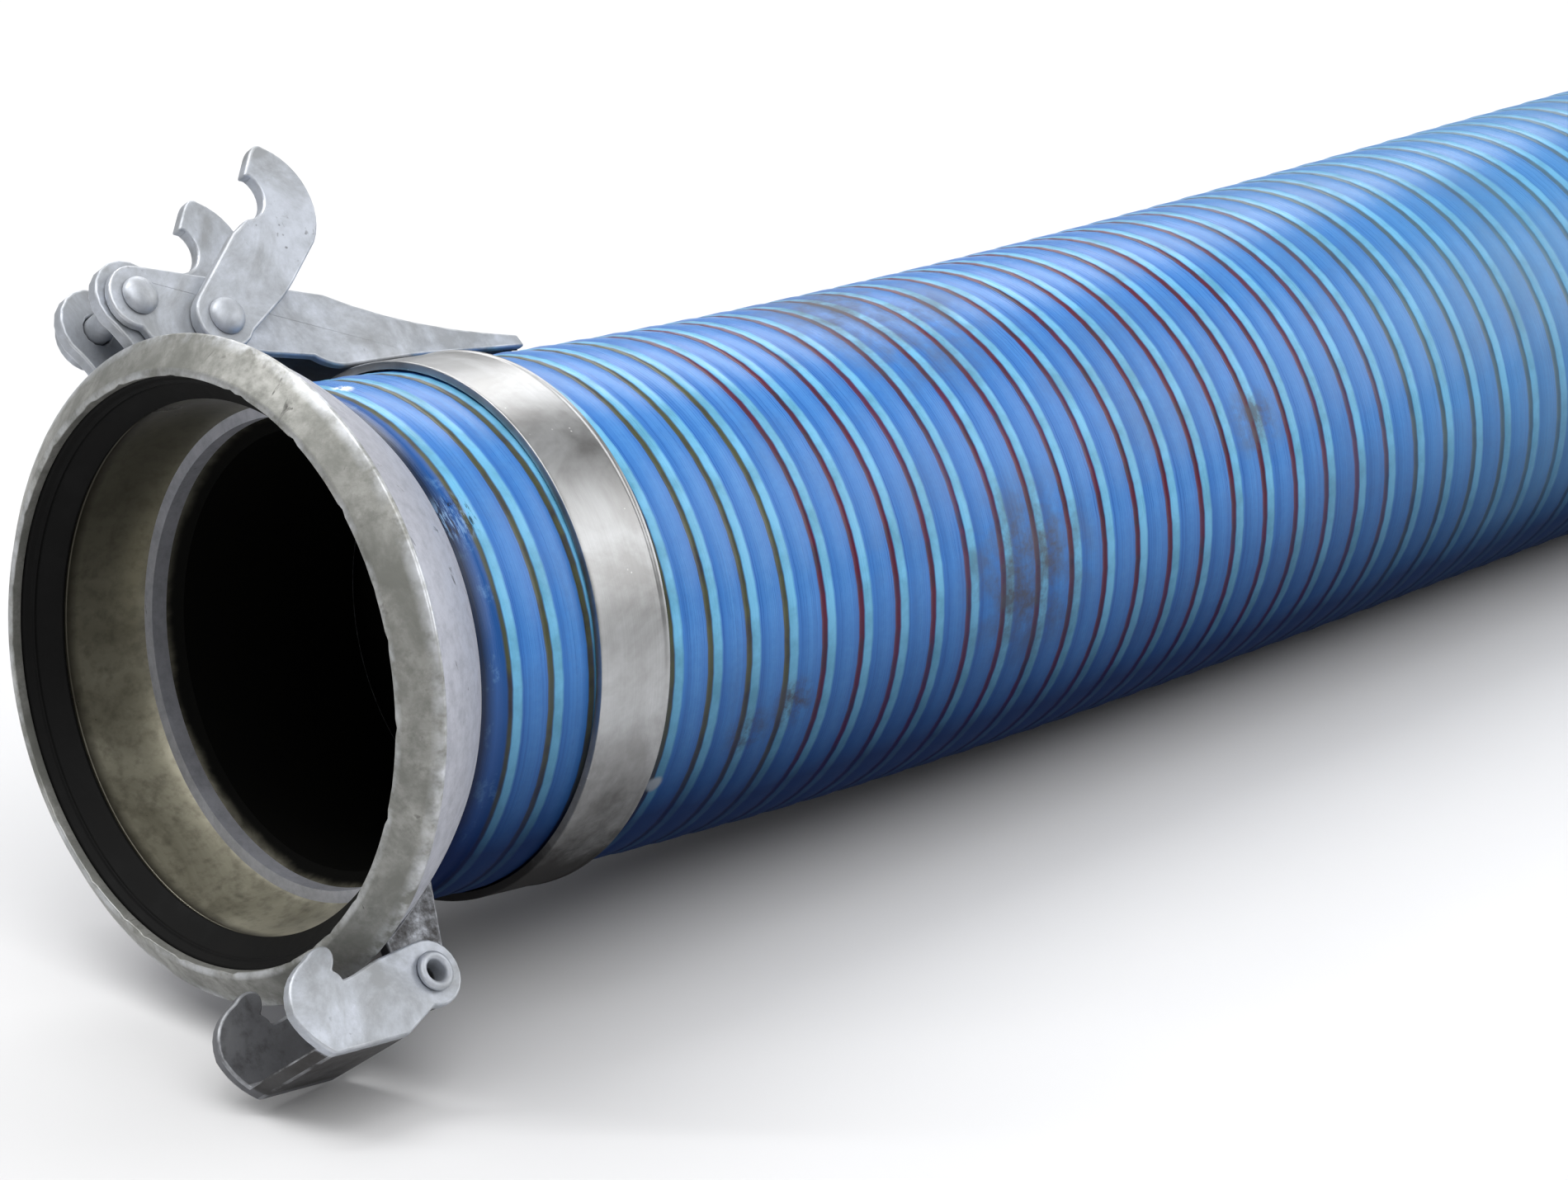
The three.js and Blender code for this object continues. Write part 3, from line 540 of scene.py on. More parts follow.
def floor_finish():
    """Pale matt floor with a faint mottle."""
    finish = Finish("pale_floor")
    mottle = finish.noise(3, 4.0, 0.5)
    colour = finish.mix(finish.range(mottle, 0.3, 0.7), *FLOOR_TINTS)
    return finish.finish(colour, finish.range(mottle, 0.3, 0.7, 0.7, 0.8))


# Meshes

MM = 0.001  # the turned profiles are given in millimetres


def new_piece(name, points, faces, materials, body, replaces):
    """A mesh object from whole arrays, which rides on a body and stands for CAD nodes."""
    mesh = bpy.data.meshes.new(name)
    mesh.from_pydata(points.tolist(), [], faces.tolist())
    for material in materials:
        mesh.materials.append(material)
    piece = bpy.data.objects.new(name, mesh)
    bpy.context.scene.collection.objects.link(piece)
    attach(piece, body)
    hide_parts(*replaces)
    return piece


def set_uv(mesh, name, values):
    """Gives a mesh a UV map from one row of two numbers for each face corner."""
    layer = mesh.uv_layers.new(name=name)
    layer.data.foreach_set("uv", np.ascontiguousarray(values, dtype=np.float32).ravel())


def weld(mesh, distance=1e-6):
    """Merges points that lie together and drops the faces that this flattens."""
    cells = bmesh.new()
    cells.from_mesh(mesh)
    bmesh.ops.remove_doubles(cells, verts=cells.verts, dist=distance)
    bmesh.ops.dissolve_degenerate(cells, dist=distance / 10, edges=cells.edges)
    cells.to_mesh(mesh)
    cells.free()


def smooth(mesh, angle=40):
    """Smooth shading, with an edge kept where faces meet at more than an angle."""
    mesh.polygons.foreach_set("use_smooth", np.ones(len(mesh.polygons), dtype=bool))
    mesh.set_sharp_from_angle(angle=math.radians(angle))
    mesh.update()


def rounded(corners, steps=4):
    """A closed outline of (x, y, radius) corners with each corner as a short quadratic curve.

    The curve starts and ends one radius away from the corner, or less on a short side.
    """
    corners = np.array(corners, dtype=float)
    points, radius = corners[:, :2], corners[:, 2]
    to_next = np.roll(points, -1, axis=0) - points
    length = np.linalg.norm(to_next, axis=1)
    ahead = to_next / length[:, None]
    behind = -np.roll(ahead, 1, axis=0)
    room = np.minimum(np.minimum(length, np.roll(length, 1)) * 0.49, radius)
    share = np.linspace(0, 1, steps + 1)[None, :, None]
    start = (points + behind * room[:, None])[:, None]
    end = (points + ahead * room[:, None])[:, None]
    corner = points[:, None]
    curve = (1 - share) ** 2 * start + 2 * share * (1 - share) * corner + share ** 2 * end
    keep = np.ones(curve.shape[:2], dtype=bool)
    keep[room <= 0, 1:] = False
    return curve[keep]


def turned(name, profile, sides, body, replaces, materials, zone=None, shift=None):
    """A closed profile turned round the coupling's axis.

    A point at distance s along and radius r goes to s on the axis plus r times (cos a on the leaning
    diameter, sin a to the side). zone gives each profile edge its material, and shift moves radii by
    an amount that depends on the distance and the angle.
    """
    count = len(profile)
    angle = np.linspace(0, 2 * np.pi, sides, endpoint=False)
    along = np.repeat(profile[:, 0][:, None], sides, axis=1)
    radius = np.repeat(profile[:, 1][:, None], sides, axis=1)
    if shift is not None:
        radius = radius + shift(along, radius, angle[None, :])
    points = place(along, radius * np.cos(angle), radius * np.sin(angle)).reshape(-1, 3)
    row = np.arange(count)[:, None]
    column = np.arange(sides)[None, :]
    next_row, next_column = (row + 1) % count, (column + 1) % sides
    faces = np.stack([
        row * sides + column, next_row * sides + column,
        next_row * sides + next_column, row * sides + next_column,
    ], axis=-1).reshape(-1, 4)
    piece = new_piece(name, points, faces, materials, body, replaces)
    edge_length = np.linalg.norm(np.diff(profile, axis=0, append=profile[:1]), axis=1)
    run = np.concatenate([[0], np.cumsum(edge_length)])
    turn = np.broadcast_to(column / sides, (count, sides))
    across = np.stack([turn, turn, turn + 1 / sides, turn + 1 / sides], axis=-1)
    here = np.broadcast_to(run[:-1, None], (count, sides))
    there = np.broadcast_to(run[1:, None], (count, sides))
    down = np.stack([here, there, there, here], axis=-1)
    set_uv(piece.data, "turned", np.stack([across, down], axis=-1).reshape(-1, 2))
    if zone is not None:
        index = np.repeat(np.asarray(zone, dtype=np.int32), sides)
        piece.data.polygons.foreach_set("material_index", index)
    smooth(piece.data)
    return piece


def bevelled_copy(name, node, body, material, width, segments=3):
    """A CAD plate with its edges rounded and the rounded faces marked as worn."""
    cells = bmesh.new()
    cells.from_mesh(frame["nodes"][node].data)
    bmesh.ops.remove_doubles(cells, verts=cells.verts, dist=1e-6)
    bmesh.ops.dissolve_limit(cells, angle_limit=math.radians(0.6), verts=cells.verts, edges=cells.edges)
    worn = cells.faces.layers.int.new("worn")
    sharp = [edge for edge in cells.edges if edge.is_manifold and edge.calc_face_angle(0) > math.radians(32)]
    made = bmesh.ops.bevel(cells, geom=sharp, offset=width, offset_type="OFFSET", segments=segments,
                           profile=0.5, affect="EDGES", clamp_overlap=False)
    for face in made["faces"]:
        face[worn] = 1
    mesh = bpy.data.meshes.new(name)
    cells.to_mesh(mesh)
    cells.free()
    marks = np.zeros(len(mesh.polygons), dtype=np.int32)
    mesh.attributes["worn"].data.foreach_get("value", marks)
    corners = np.zeros(len(mesh.polygons), dtype=np.int32)
    mesh.polygons.foreach_get("loop_total", corners)
    layer = mesh.attributes.new("wear", "FLOAT", "CORNER")
    layer.data.foreach_set("value", np.repeat(marks, corners).astype(np.float32))
    mesh.attributes.remove(mesh.attributes["worn"])
    mesh.materials.clear()
    mesh.materials.append(material)
    shade_by_area(mesh)
    piece = bpy.data.objects.new(name, mesh)
    bpy.context.scene.collection.objects.link(piece)
    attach(piece, body)
    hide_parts(node)
    return piece


def shade_by_area(mesh):
    """Smooth shading in which each point takes the mean of its faces' directions, weighted by area."""
    mesh.polygons.foreach_set("use_smooth", np.ones(len(mesh.polygons), dtype=bool))
    count = len(mesh.polygons)
    normal, area = np.zeros(count * 3), np.zeros(count)
    corners = np.zeros(count, dtype=np.int32)
    mesh.polygons.foreach_get("normal", normal)
    mesh.polygons.foreach_get("area", area)
    mesh.polygons.foreach_get("loop_total", corners)
    vertex = np.zeros(len(mesh.loops), dtype=np.int32)
    mesh.loops.foreach_get("vertex_index", vertex)
    pull = np.repeat(normal.reshape(-1, 3) * area[:, None], corners, axis=0)
    total = np.zeros((len(mesh.vertices), 3))
    np.add.at(total, vertex, pull)
    total /= np.maximum(np.linalg.norm(total, axis=1), 1e-12)[:, None]
    mesh.normals_split_custom_set_from_vertices(total.tolist())


# Centre line of the hose

TAIL_END = 0.125  # the hose is straight as far as this
BEND_LEFT, BEND_RIGHT = 8.0, 5.0  # radii of the set in plan
BEND_CHANGE, BEND_FULL = 0.310, 0.800
LINE_STEP = 0.005


class CentreLine:
    """The hose's centre line: straight on the tail, then it levels out like a lifted beam.

    Its slope falls with the square of the distance left to the point where it meets the floor, and its
    heading changes with a curvature that passes evenly from one bend to the other.
    """

    def __init__(self, settings):
        tilt, yaw = math.asin(-ALONG[2]), math.atan2(ALONG[1], ALONG[0])
        levelling = 3 * ((MOUTH[2] - settings.radius) / math.tan(tilt) - TAIL_END)
        self.at = np.arange(0, settings.length + LINE_STEP / 2, LINE_STEP)
        middle = self.at[:-1] + LINE_STEP / 2
        left = np.clip((TAIL_END + levelling - middle) / levelling, 0, 1)
        slope = tilt * np.where(middle <= TAIL_END, 1.0, left ** 2)
        share = (middle - BEND_CHANGE) / (BEND_FULL - BEND_CHANGE)
        curve = np.clip(-share / BEND_RIGHT, -1 / BEND_RIGHT, 1 / BEND_LEFT)
        heading = yaw + np.cumsum(np.where(middle <= TAIL_END, 0.0, curve)) * LINE_STEP
        level = np.cos(slope)
        ahead = np.stack([np.cos(heading) * level, np.sin(heading) * level, -np.sin(slope)], 1)
        self.points = MOUTH + np.concatenate([np.zeros((1, 3)), np.cumsum(ahead * LINE_STEP, axis=0)])
        forward = np.concatenate([ahead[:1], (ahead[1:] + ahead[:-1]) / 2, ahead[-1:]])
        self.left = np.stack([-forward[:, 1], forward[:, 0], np.zeros(len(forward))], 1)
        self.left /= np.linalg.norm(self.left, axis=1)[:, None]
        self.up = np.cross(forward, self.left)
        self.up /= np.linalg.norm(self.up, axis=1)[:, None]

    def look(self, table, at):
        """A table of vectors read at any distances."""
        return np.stack([np.interp(at, self.at, table[:, axis]) for axis in range(3)], axis=-1)

    def around(self, at, angle, radius):
        """Points round the line: radius times (cos a to the left, sin a up) from the line's point."""
        left, up = self.look(self.left, at), self.look(self.up, at)
        out = np.cos(angle)[..., None] * left + np.sin(angle)[..., None] * up
        return self.look(self.points, at) + radius[..., None] * out


# Depth of the surface under the crest, as shares of the relief, at places in one turn of the spiral
RIB_PHASES = np.array([0.0, 0.045, 0.10, 0.17, 0.24, 0.30, 0.36, 0.48, 0.62, 0.76, 0.88, 0.955])
RIB_DEPTHS = np.array([1.0, 0.62, 0.36, 0.30, 0.38, 0.52, 0.38, 0.12, 0.0, 0.12, 0.40, 0.72])
CREST_PHASE = 0.63
END_PHASE = 0.62  # phase given to the flat ends, for plain blue
BORE_MARK = -50.0  # phase given to the bore, which no rib has
HOSE_START = 0.0433  # distance from the mouth at which the hose starts on the tail
BORE_STEP = 0.0086
WORN_TURN = 0.08  # share of a turn over which the rim before the first line drops


def spiral_hose(settings, material):
    """The hose's wall as one closed mesh.

    Outside, the rows of the grid follow the right-handed spiral: a row of phase p meets the angle a at
    first_line_at + pitch * (p + (a - first_line_angle) / full turn), held between the two ends, and its
    radius is the hose's less the rib's depth at that phase. Inside are plain rings of the bore, and
    flat rings join the two at the ends.
    """
    line = CentreLine(settings)
    rows_a_turn, columns = len(RIB_PHASES), settings.columns
    first = math.floor((HOSE_START - settings.first_line_at) / settings.pitch) - 2
    last = math.ceil((settings.length - settings.first_line_at) / settings.pitch) + 2
    turns = np.arange(first, last)
    phase = (turns[:, None] + RIB_PHASES[None, :]).ravel()
    rows = len(phase)

    def spiral(phase_of, column):
        """Distance along the hose, angle and phase of grid points, held between the hose's ends."""
        angle = 2 * np.pi * column / columns
        lag = (angle - settings.first_line_angle) / (2 * np.pi)
        at = np.clip(settings.first_line_at + settings.pitch * (phase_of + lag), HOSE_START, settings.length)
        return at, angle, (at - settings.first_line_at) / settings.pitch - lag

    at, angle, true_phase = spiral(phase[:, None], np.arange(columns)[None, :])
    depth = np.interp(true_phase % 1.0, np.append(RIB_PHASES, 1.0), np.append(RIB_DEPTHS, RIB_DEPTHS[0]))
    before_first = np.clip(-true_phase / WORN_TURN, 0, 1)
    radius = settings.radius - settings.relief * depth - settings.recess * before_first
    outside = line.around(at, np.broadcast_to(angle, at.shape), radius).reshape(-1, 3)

    row = np.arange(rows - 1 - rows_a_turn)[:, None]
    column = np.arange(columns)[None, :]
    corners = []
    for row_step, column_step in ((0, 0), (1, 0), (1, 1), (0, 1)):
        corners.append(np.broadcast_arrays(row + row_step, column + column_step))
    index = np.stack([
        np.where(c == columns, (r + rows_a_turn) * columns, r * columns + c % columns) for r, c in corners
    ], axis=-1)
    uv, spread = [], []
    for r, c in corners:
        corner_at, corner_angle, corner_phase = spiral(phase[r], c)
        uv.append(np.stack([corner_phase, corner_angle / (2 * np.pi)], axis=-1))
        spread.append(corner_at)
    uv = np.stack(uv, axis=-2)
    live = np.ptp(np.stack(spread, axis=-1), axis=-1) > 1e-9
    outer_faces, outer_uv = index[live], uv[live]

    rings = np.append(np.arange(HOSE_START, settings.length - BORE_STEP / 2, BORE_STEP), settings.length)
    ring_angle = 2 * np.pi * np.arange(columns) / columns
    ring_at, ring_angle = np.broadcast_arrays(rings[:, None], ring_angle[None, :])
    bore = line.around(ring_at, ring_angle, np.full(ring_at.shape, settings.bore_radius)).reshape(-1, 3)
    offset = len(outside)
    row = np.arange(len(rings) - 1)[:, None]
    step = (column + 1) % columns
    this_ring, next_ring = row * columns, (row + 1) * columns
    inner_faces = offset + np.stack([
        this_ring + column, this_ring + step, next_ring + step, next_ring + column,
    ], axis=-1).reshape(-1, 4)
    start_row, end_row = 0, rows - 1
    near, next_near = start_row * columns + column[0], start_row * columns + step[0]
    far, next_far = end_row * columns + column[0], end_row * columns + step[0]
    deep = offset + (len(rings) - 1) * columns
    start_faces = np.stack([near, next_near, offset + step[0], offset + column[0]], axis=-1)
    end_faces = np.stack([far, deep + column[0], deep + step[0], next_far], axis=-1)
    faces = np.concatenate([outer_faces, inner_faces, start_faces, end_faces])[:, ::-1]

    points = np.concatenate([outside, bore])
    piece = new_piece("spiral_hose", points, faces, [material], "root", ["hose"])
    plain = np.zeros((len(faces) - len(outer_faces), 4, 2))
    plain[:len(inner_faces), :, 0] = BORE_MARK
    plain[len(inner_faces):, :, 0] = END_PHASE
    set_uv(piece.data, "spiral", np.concatenate([outer_uv, plain])[:, ::-1].reshape(-1, 2))
    weld(piece.data)
    smooth(piece.data)
    return piece


# Turned pieces of the coupling

def bowl_radius_at(at, start, end):
    """Radius of the round back: a circle about a point on the axis through a start and an end point."""
    centre = (start[0] + end[0]) / 2 - (start[1] ** 2 - end[1] ** 2) / (2 * (end[0] - start[0]))
    return np.sqrt((start[0] - centre) ** 2 + start[1] ** 2 - (at - centre) ** 2)


def make_cup(settings, zinc, cup):
    """Front of the flange, its edge, the round back, the hidden tail and the sweep of the cup inside.

    The sweep narrows from its mouth to the tail's bore by 1 less the root of (1 - 0.96 x squared), at
    the share x of its length. Behind the first point of the bore the surface has the cup's finish: stained metal
    with painted shade.
    """
    mouth_radius, groove_radius, tail_radius, tail_bore = 93.0, 97.0, 75.47, 70.87
    lip_back_at, edge_back_at, groove_back_at, back_end_at, tail_end_at = 3.6, 10.2, 15.3, 43, 125
    sweep_length, sweep_radius = 37.1, 85
    back_at = np.linspace(edge_back_at, back_end_at, 22)
    back = bowl_radius_at(back_at, (edge_back_at, 103.6), (back_end_at, 83.7))
    share = np.linspace(0, 1, 26)
    drop = 1 - np.sqrt(1 - share ** 2 * 0.96)
    sweep_at = groove_back_at + sweep_length * share
    sweep = sweep_radius - (sweep_radius - tail_bore) * drop / drop[-1]
    outer = [
        (lip_back_at, mouth_radius, 0.4), (0, mouth_radius, 0.5), (0, 95.2, 1.0), (8.6, 105.5, 1.3),
        (edge_back_at, 105.1, 0.7), (edge_back_at, back[0], 0.6),
        *[(a, r, 0) for a, r in zip(back_at[1:-1], back[1:-1])], (back_end_at, back[-1], 0.4),
        (back_end_at, tail_radius, 0), (tail_end_at, tail_radius, 0.5),
    ]
    inner = [
        (tail_end_at, tail_bore, 0.5), *[(a, r, 0) for a, r in zip(sweep_at[:0:-1], sweep[:0:-1])],
        (groove_back_at, sweep_radius, 0.7), (groove_back_at, groove_radius, 0),
        (lip_back_at, groove_radius, 0),
    ]
    profile = rounded(outer + inner) * MM
    in_bore = (profile[:, 0] > (tail_end_at - 0.6) * MM) & (profile[:, 1] < tail_bore * MM + 1e-6)
    first_inside = int(np.argmax(in_bore))
    zone = (np.arange(len(profile)) >= first_inside).astype(int)
    return turned("coupling_cup", profile, settings.sides, "root", ["coupling_body"],
                  [zinc, cup], zone=zone, shift=lip_chips)


def lip_chips(along, radius, angle):
    """Small chips in the lip's inner edge: a sum of sines, kept only where it is high."""
    on_edge = np.exp(-((along - 0.0003) / 0.0015) ** 2) * np.exp(-((radius - 0.0932) / 0.0008) ** 2)
    wave = np.sin(23 * angle + 1.0) + np.sin(41 * angle + 2.1) + np.sin(67 * angle + 0.4) + np.sin(97 * angle)
    return 0.0006 * on_edge * np.clip(wave - 1.2, 0, 1.2)


def make_seal(settings, rubber):
    """The seal's section: a lip at the mouth, a waist and a nose that covers the cup's edge."""
    corners = [
        (3.9, 92.4, 0.8), (3.9, 96.6, 0), (15.0, 96.6, 0), (15.0, 85.4, 0.4), (13.8, 84.2, 0.9),
        (10.2, 87.6, 1.6), (7.5, 90.2, 1.6), (6.6, 90.1, 0.4), (6.2, 91.2, 0.5),
    ]
    return turned("seal_lip", rounded(corners) * MM, settings.sides, "root", ["seal_ring"],
                  [rubber])


def rod(name, node, body, material, middle, out, radius, sides=40, closed=False):
    """A profile of side distance and radius, turned about a line that runs to the side.

    A point at side distance w and radius r goes to the middle plus r times (cos a along, sin a high),
    and w to the side. An open profile starts and ends on the line, and a closed one is a ring.
    """
    angle = np.linspace(0, 2 * np.pi, sides, endpoint=False)
    along = middle[0] + radius[:, None] * np.cos(angle)
    high = middle[1] + radius[:, None] * np.sin(angle)
    points = place(along, high, np.broadcast_to(out[:, None], along.shape)).reshape(-1, 3)
    count = len(out)
    row = np.arange(count if closed else count - 1)[:, None]
    column = np.arange(sides)[None, :]
    step, below = (column + 1) % sides, (row + 1) % count
    faces = np.stack([
        row * sides + column, row * sides + step, below * sides + step, below * sides + column,
    ], axis=-1).reshape(-1, 4)
    piece = new_piece(name, points, faces, [material], body, [node])
    weld(piece.data)
    smooth(piece.data, 50)
    wear = piece.data.attributes.new("wear", "FLOAT", "CORNER")
    wear.data.foreach_set("value", np.full(len(piece.data.loops), 0.45, dtype=np.float32))
    return piece


def rivet(name, node, body, material, head=6.4, height=3.6):
    """A round-headed rivet across the coupling, where its CAD node stands.

    The profile runs from the middle of one dome to the other, and turns about the side direction. On a
    dome the radius goes with the sine of an angle, and the height with its cosine to the power 0.9.
    """
    cad_height, shank = 3.4, 4.7
    points = distances(node_points(node))
    middle = [middle_of(points[:, 0]), middle_of(points[:, 1])]
    half = np.abs(points[:, 2]).max() - cad_height * MM
    turn = np.linspace(0, np.pi / 2, 8)
    dome_out = half + height * MM * np.cos(turn) ** 0.9
    dome = head * MM * np.sin(turn)
    out = np.concatenate([dome_out, [half, -half], -dome_out[::-1]])
    radius = np.concatenate([dome, [shank * MM, shank * MM], dome[::-1]])
    return rod(name, node, body, material, middle, out, radius)


def tube_pin(name, node, material):
    """A tubular pin whose ends are rolled over into round rims.

    A rim is three quarters of a circle, 1.15 times as high as it is wide.
    """
    pin_bore, shank, straight = 3.1 * MM, 4.9 * MM, 3.6 * MM
    points = distances(node_points(node))
    middle = [middle_of(points[:, 0]), middle_of(points[:, 1])]
    end = np.abs(points[:, 2]).max()
    turn = np.linspace(0, np.pi * 1.5, 12)
    rim_centre, rim = (end - 1.25 * MM, 4.95 * MM), 1.3 * MM
    out = rim_centre[0] + rim * np.sin(turn)
    radius = rim_centre[1] - rim * np.cos(turn) * 1.15
    out = np.concatenate([out, [rim_centre[0] - rim]])
    radius = np.concatenate([radius, [shank]])
    side_out = np.concatenate([[0, end - straight], out])
    side_radius = np.concatenate([[pin_bore, pin_bore], radius])
    profile_out = np.concatenate([-side_out[::-1], side_out[1:]])
    profile_radius = np.concatenate([side_radius[::-1], side_radius[1:]])
    return rod(name, node, "root", material, middle, profile_out, profile_radius, closed=True)


# Stage

# The photograph's view, worked out from its perspective
CAMERA_FROM_MOUTH = (-0.90821, -1.19457, 0.56840)
CAMERA_RIGHT = (0.717038, -0.697034, 0.0)
CAMERA_UP = (0.237646, 0.244466, 0.940086)
KEY_FROM = (-0.12, 0.22, 0.95)  # where the sun stands


def make_camera(settings):
    """A camera at the photograph's viewing angle, for an image of 1900 by 1430."""
    right, up = Vector(CAMERA_RIGHT), Vector(CAMERA_UP)
    back = right.cross(up)
    data = bpy.data.cameras.new("camera")
    data.sensor_fit = "HORIZONTAL"
    data.sensor_width = 36.0
    data.lens = settings.lens
    data.clip_end = 60.0
    camera = bpy.data.objects.new("camera", data)
    turn = Matrix((right, up, back)).transposed().to_4x4()
    camera.matrix_world = Matrix.Translation(Vector(MOUTH) + Vector(CAMERA_FROM_MOUTH)) @ turn
    bpy.context.scene.collection.objects.link(camera)
    bpy.context.scene.camera = camera


def make_floor(settings):
    """A large square floor at the level that the object stands on."""
    half = settings.floor_size / 2
    corners = np.array([(-half, -half, 0), (half, -half, 0), (half, half, 0), (-half, half, 0)])
    mesh = bpy.data.meshes.new("floor")
    mesh.from_pydata(corners.tolist(), [], [(0, 1, 2, 3)])
    mesh.materials.append(floor_finish())
    floor = bpy.data.objects.new("floor", mesh)
    bpy.context.scene.collection.objects.link(floor)


def make_lights(settings):
    """An even world, a wide soft sun overhead, and area lights behind, in front, at the side and along."""
    world = bpy.data.worlds.new("studio")
    world.use_nodes = True
    background = world.node_tree.nodes["Background"]
    background.inputs["Color"].default_value = (1, 1, 1, 1)
    background.inputs["Strength"].default_value = settings.world_strength
    bpy.context.scene.world = world
    data = bpy.data.lights.new("sky_light", "SUN")
    data.energy = settings.key_power
    data.angle = settings.key_angle
    light = bpy.data.objects.new("sky_light", data)
    light.rotation_euler = (-Vector(KEY_FROM)).to_track_quat("-Z", "Y").to_euler()
    bpy.context.scene.collection.objects.link(light)
    area_light("back_light", (0.6, 1.7, 1.6), (-0.5, 0.05, 0.1), (2.4, 1.0), settings.back_power)
    area_light("front_light", (-1.35, -1.45, 2.35), (-0.7, 0.0, 0.1), (2.2, 2.6), settings.front_power)
    area_light("side_light", (1.7, -1.25, 1.3), (-0.87, 0.06, 0.12), (2.4, 2.0), settings.side_power)
    area_light("strip_light", (-1.6, 0.9, 1.9), (-0.6, 0.05, 0.1), (0.12, 1.6), settings.strip_power)


def area_light(name, spot, target, size, power):
    """A rectangular light at a spot, facing a target."""
    data = bpy.data.lights.new(name, "AREA")
    data.shape = "RECTANGLE"
    data.size, data.size_y = size
    data.energy = power
    light = bpy.data.objects.new(name, data)
    light.location = spot
    light.rotation_euler = (Vector(target) - Vector(spot)).to_track_quat("-Z", "Y").to_euler()
    bpy.context.scene.collection.objects.link(light)


# Operators

class SLURRYHOSE_OT_hose(bpy.types.Operator):
    """Make the spiral-ribbed hose"""

    bl_idname = "slurry_hose.hose"
    bl_label = "Hose"

    def execute(self, context):
        settings = context.scene.slurry_hose.hose
        spiral_hose(settings, hose_finish(settings))
        return {"FINISHED"}


class SLURRYHOSE_OT_coupling(bpy.types.Operator):
    """Make the turned cup with its flange, and the rubber seal in its groove"""

    bl_idname = "slurry_hose.coupling"
    bl_label = "Coupling and seal"

    def execute(self, context):
        settings = context.scene.slurry_hose.coupling
        zinc = galvanised_finish("galvanised_cup", settings, dull=0.8, wear=0.9, turned_edge=True)
        cup = cup_finish(settings)
        make_cup(settings, zinc, cup)
        make_seal(settings, rubber_finish(settings))
        return {"FINISHED"}


class SLURRYHOSE_OT_band(bpy.types.Operator):
    """Make the band clamp"""

    bl_idname = "slurry_hose.band"
    bl_label = "Band clamp"

    def execute(self, context):
        settings = context.scene.slurry_hose.coupling
        inside, outside = 84.93, 87.9
        corners = [
            (89.6, inside, 0), (89.6, outside - 0.3, 0.5), (92.0, outside - 0.35, 0.6),
            (116.6, outside - 0.35, 0.5), (117.4, outside + 0.05, 0.5), (118.6, outside + 0.05, 0.5),
            (119.0, outside - 0.6, 0.4), (119.0, inside, 0),
        ]
        turned("strap_band", rounded(corners) * MM, settings.sides, "root", ["band_clamp"],
               [strap_finish(settings)])
        return {"FINISHED"}


class SLURRYHOSE_OT_lever(bpy.types.Operator):
    """Make the lever, its two lugs and its rivet"""

    bl_idname = "slurry_hose.lever"
    bl_label = "Lever and lugs"

    def execute(self, context):
        settings = context.scene.slurry_hose.coupling
        zinc = galvanised_finish("galvanised_lever", settings, dull=0.35)
        bevelled_copy("lever_channel", "lever", "lever", zinc, settings.bevel)
        for side in ("near", "far"):
            bevelled_copy(f"lever_lug_plate_{side}", f"lever_lug_{side}", "root", zinc, settings.bevel)
        rivet("lever_rivet_domed", "lever_rivet", "root", zinc)
        return {"FINISHED"}


class SLURRYHOSE_OT_hooks(bpy.types.Operator):
    """Make the two hook plates and their rivet"""

    bl_idname = "slurry_hose.hooks"
    bl_label = "Hooks"

    def execute(self, context):
        settings = context.scene.slurry_hose.coupling
        zinc = galvanised_finish("galvanised_hooks", settings, dull=0.25, wear=0.45)
        for side in ("near", "far"):
            bevelled_copy(f"hook_plate_{side}", f"hook_{side}", "hooks", zinc, settings.bevel * 1.2)
        rivet("hook_rivet_domed", "hook_rivet", "lever", zinc)
        return {"FINISHED"}


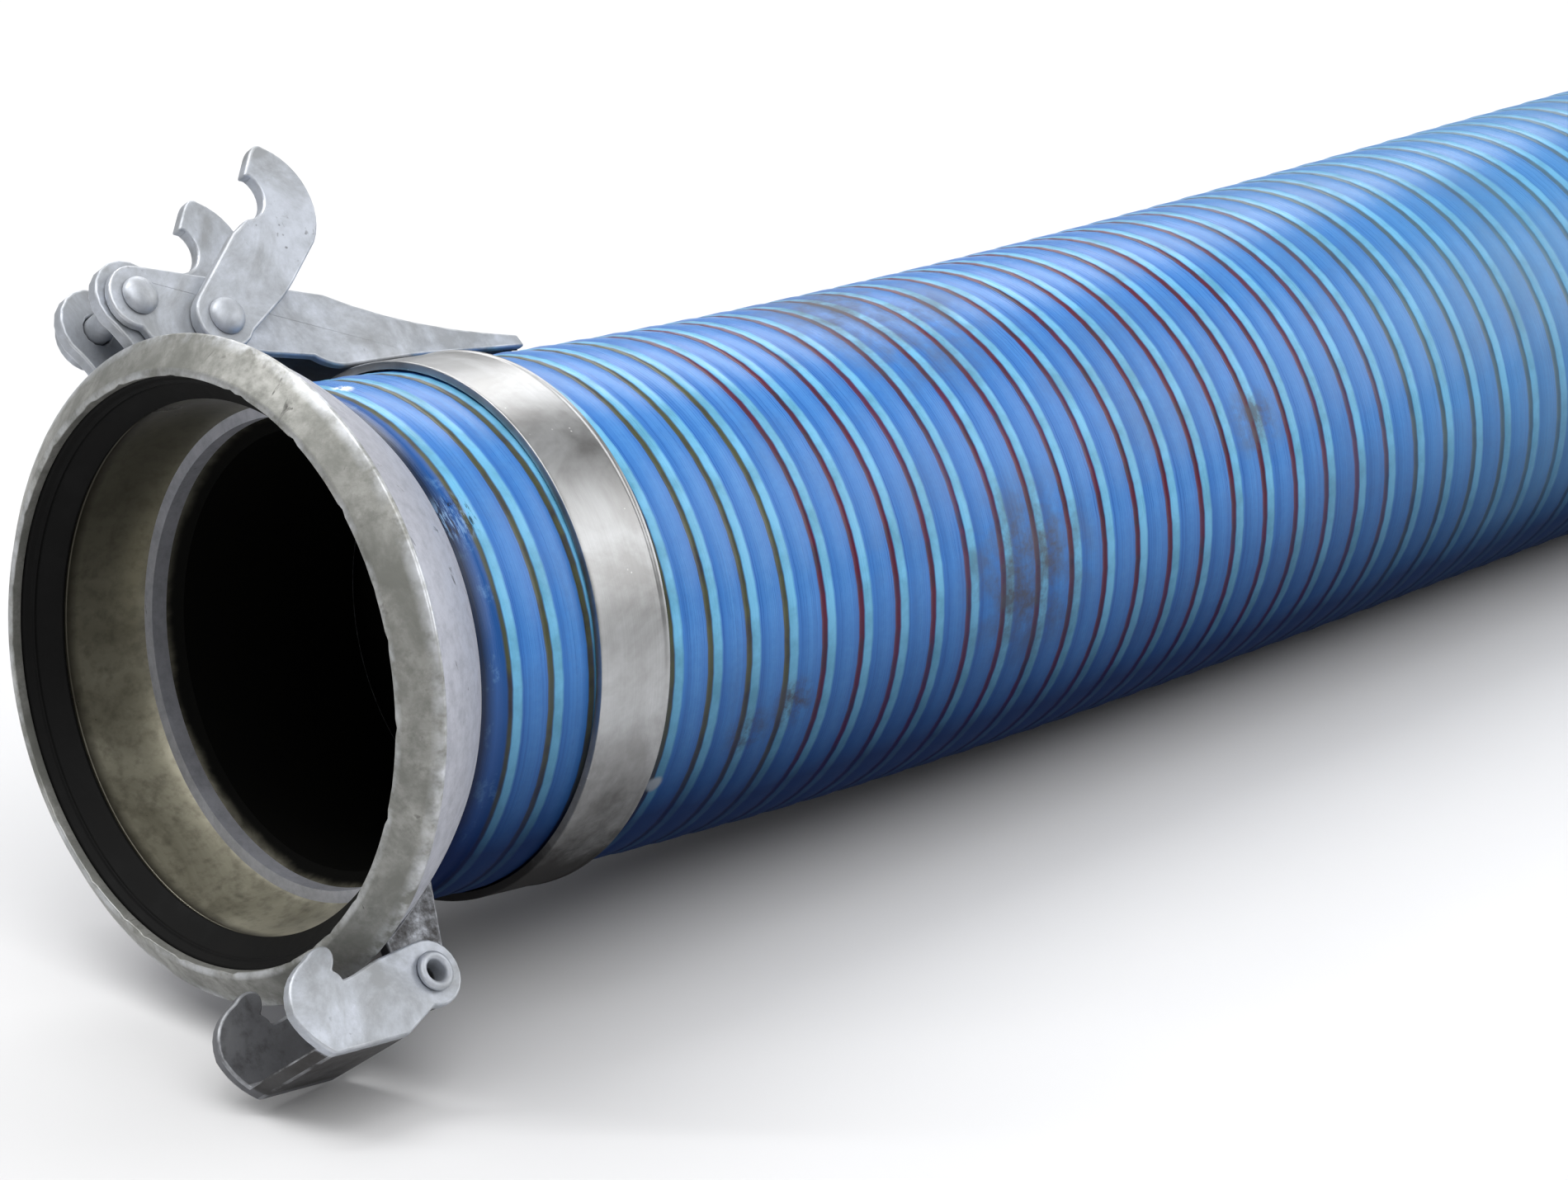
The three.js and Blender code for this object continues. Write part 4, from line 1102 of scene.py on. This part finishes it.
class SLURRYHOSE_OT_bottom_hook(bpy.types.Operator):
    """Make the bottom hook, its lugs and its tubular pin"""

    bl_idname = "slurry_hose.bottom_hook"
    bl_label = "Bottom hook"

    def execute(self, context):
        settings = context.scene.slurry_hose.coupling
        zinc = galvanised_finish("galvanised_bottom_hook", settings, dull=0.3, wear=0.45, shaded_channel=True)
        bevelled_copy("bottom_hook_channel", "bottom_hook", "bottom_hook", zinc, settings.bevel)
        for side in ("near", "far"):
            bevelled_copy(f"hook_lug_plate_{side}", f"hook_lug_{side}", "root", zinc, settings.bevel)
        tube_pin("hook_pin_rolled", "hook_pin", zinc)
        return {"FINISHED"}


class SLURRYHOSE_OT_stage(bpy.types.Operator):
    """Set up the camera, the pale floor and the soft light"""

    bl_idname = "slurry_hose.stage"
    bl_label = "Stage"

    def execute(self, context):
        settings = context.scene.slurry_hose.stage
        make_camera(settings)
        make_floor(settings)
        make_lights(settings)
        context.scene.view_settings.view_transform = "Standard"
        return {"FINISHED"}


class SLURRYHOSE_PT_panel(bpy.types.Panel):
    """Buttons for each piece"""

    bl_label = "Slurry Hose"
    bl_idname = "SLURRYHOSE_PT_panel"
    bl_space_type = "VIEW_3D"
    bl_region_type = "UI"
    bl_category = "Slurry Hose"

    def draw(self, context):
        for step in STEPS:
            self.layout.operator(f"slurry_hose.{step}")


STEPS = ("stage", "hose", "coupling", "band", "lever", "hooks", "bottom_hook")
CLASSES = (
    HoseSettings, CouplingSettings, StageSettings, SlurryHoseSettings,
    SLURRYHOSE_OT_stage, SLURRYHOSE_OT_hose, SLURRYHOSE_OT_coupling, SLURRYHOSE_OT_band,
    SLURRYHOSE_OT_lever, SLURRYHOSE_OT_hooks, SLURRYHOSE_OT_bottom_hook, SLURRYHOSE_PT_panel,
)


def register():
    """Registers the classes and the settings."""
    for item in CLASSES:
        bpy.utils.register_class(item)
    bpy.types.Scene.slurry_hose = PointerProperty(type=SlurryHoseSettings)


def unregister():
    """Takes the settings and the classes out again."""
    del bpy.types.Scene.slurry_hose
    for item in reversed(CLASSES):
        bpy.utils.unregister_class(item)


def main():
    """Makes every piece in order."""
    register()
    for step in STEPS:
        getattr(bpy.ops.slurry_hose, step)()
    bpy.context.view_layer.update()


if __name__ == "__main__":
    main()
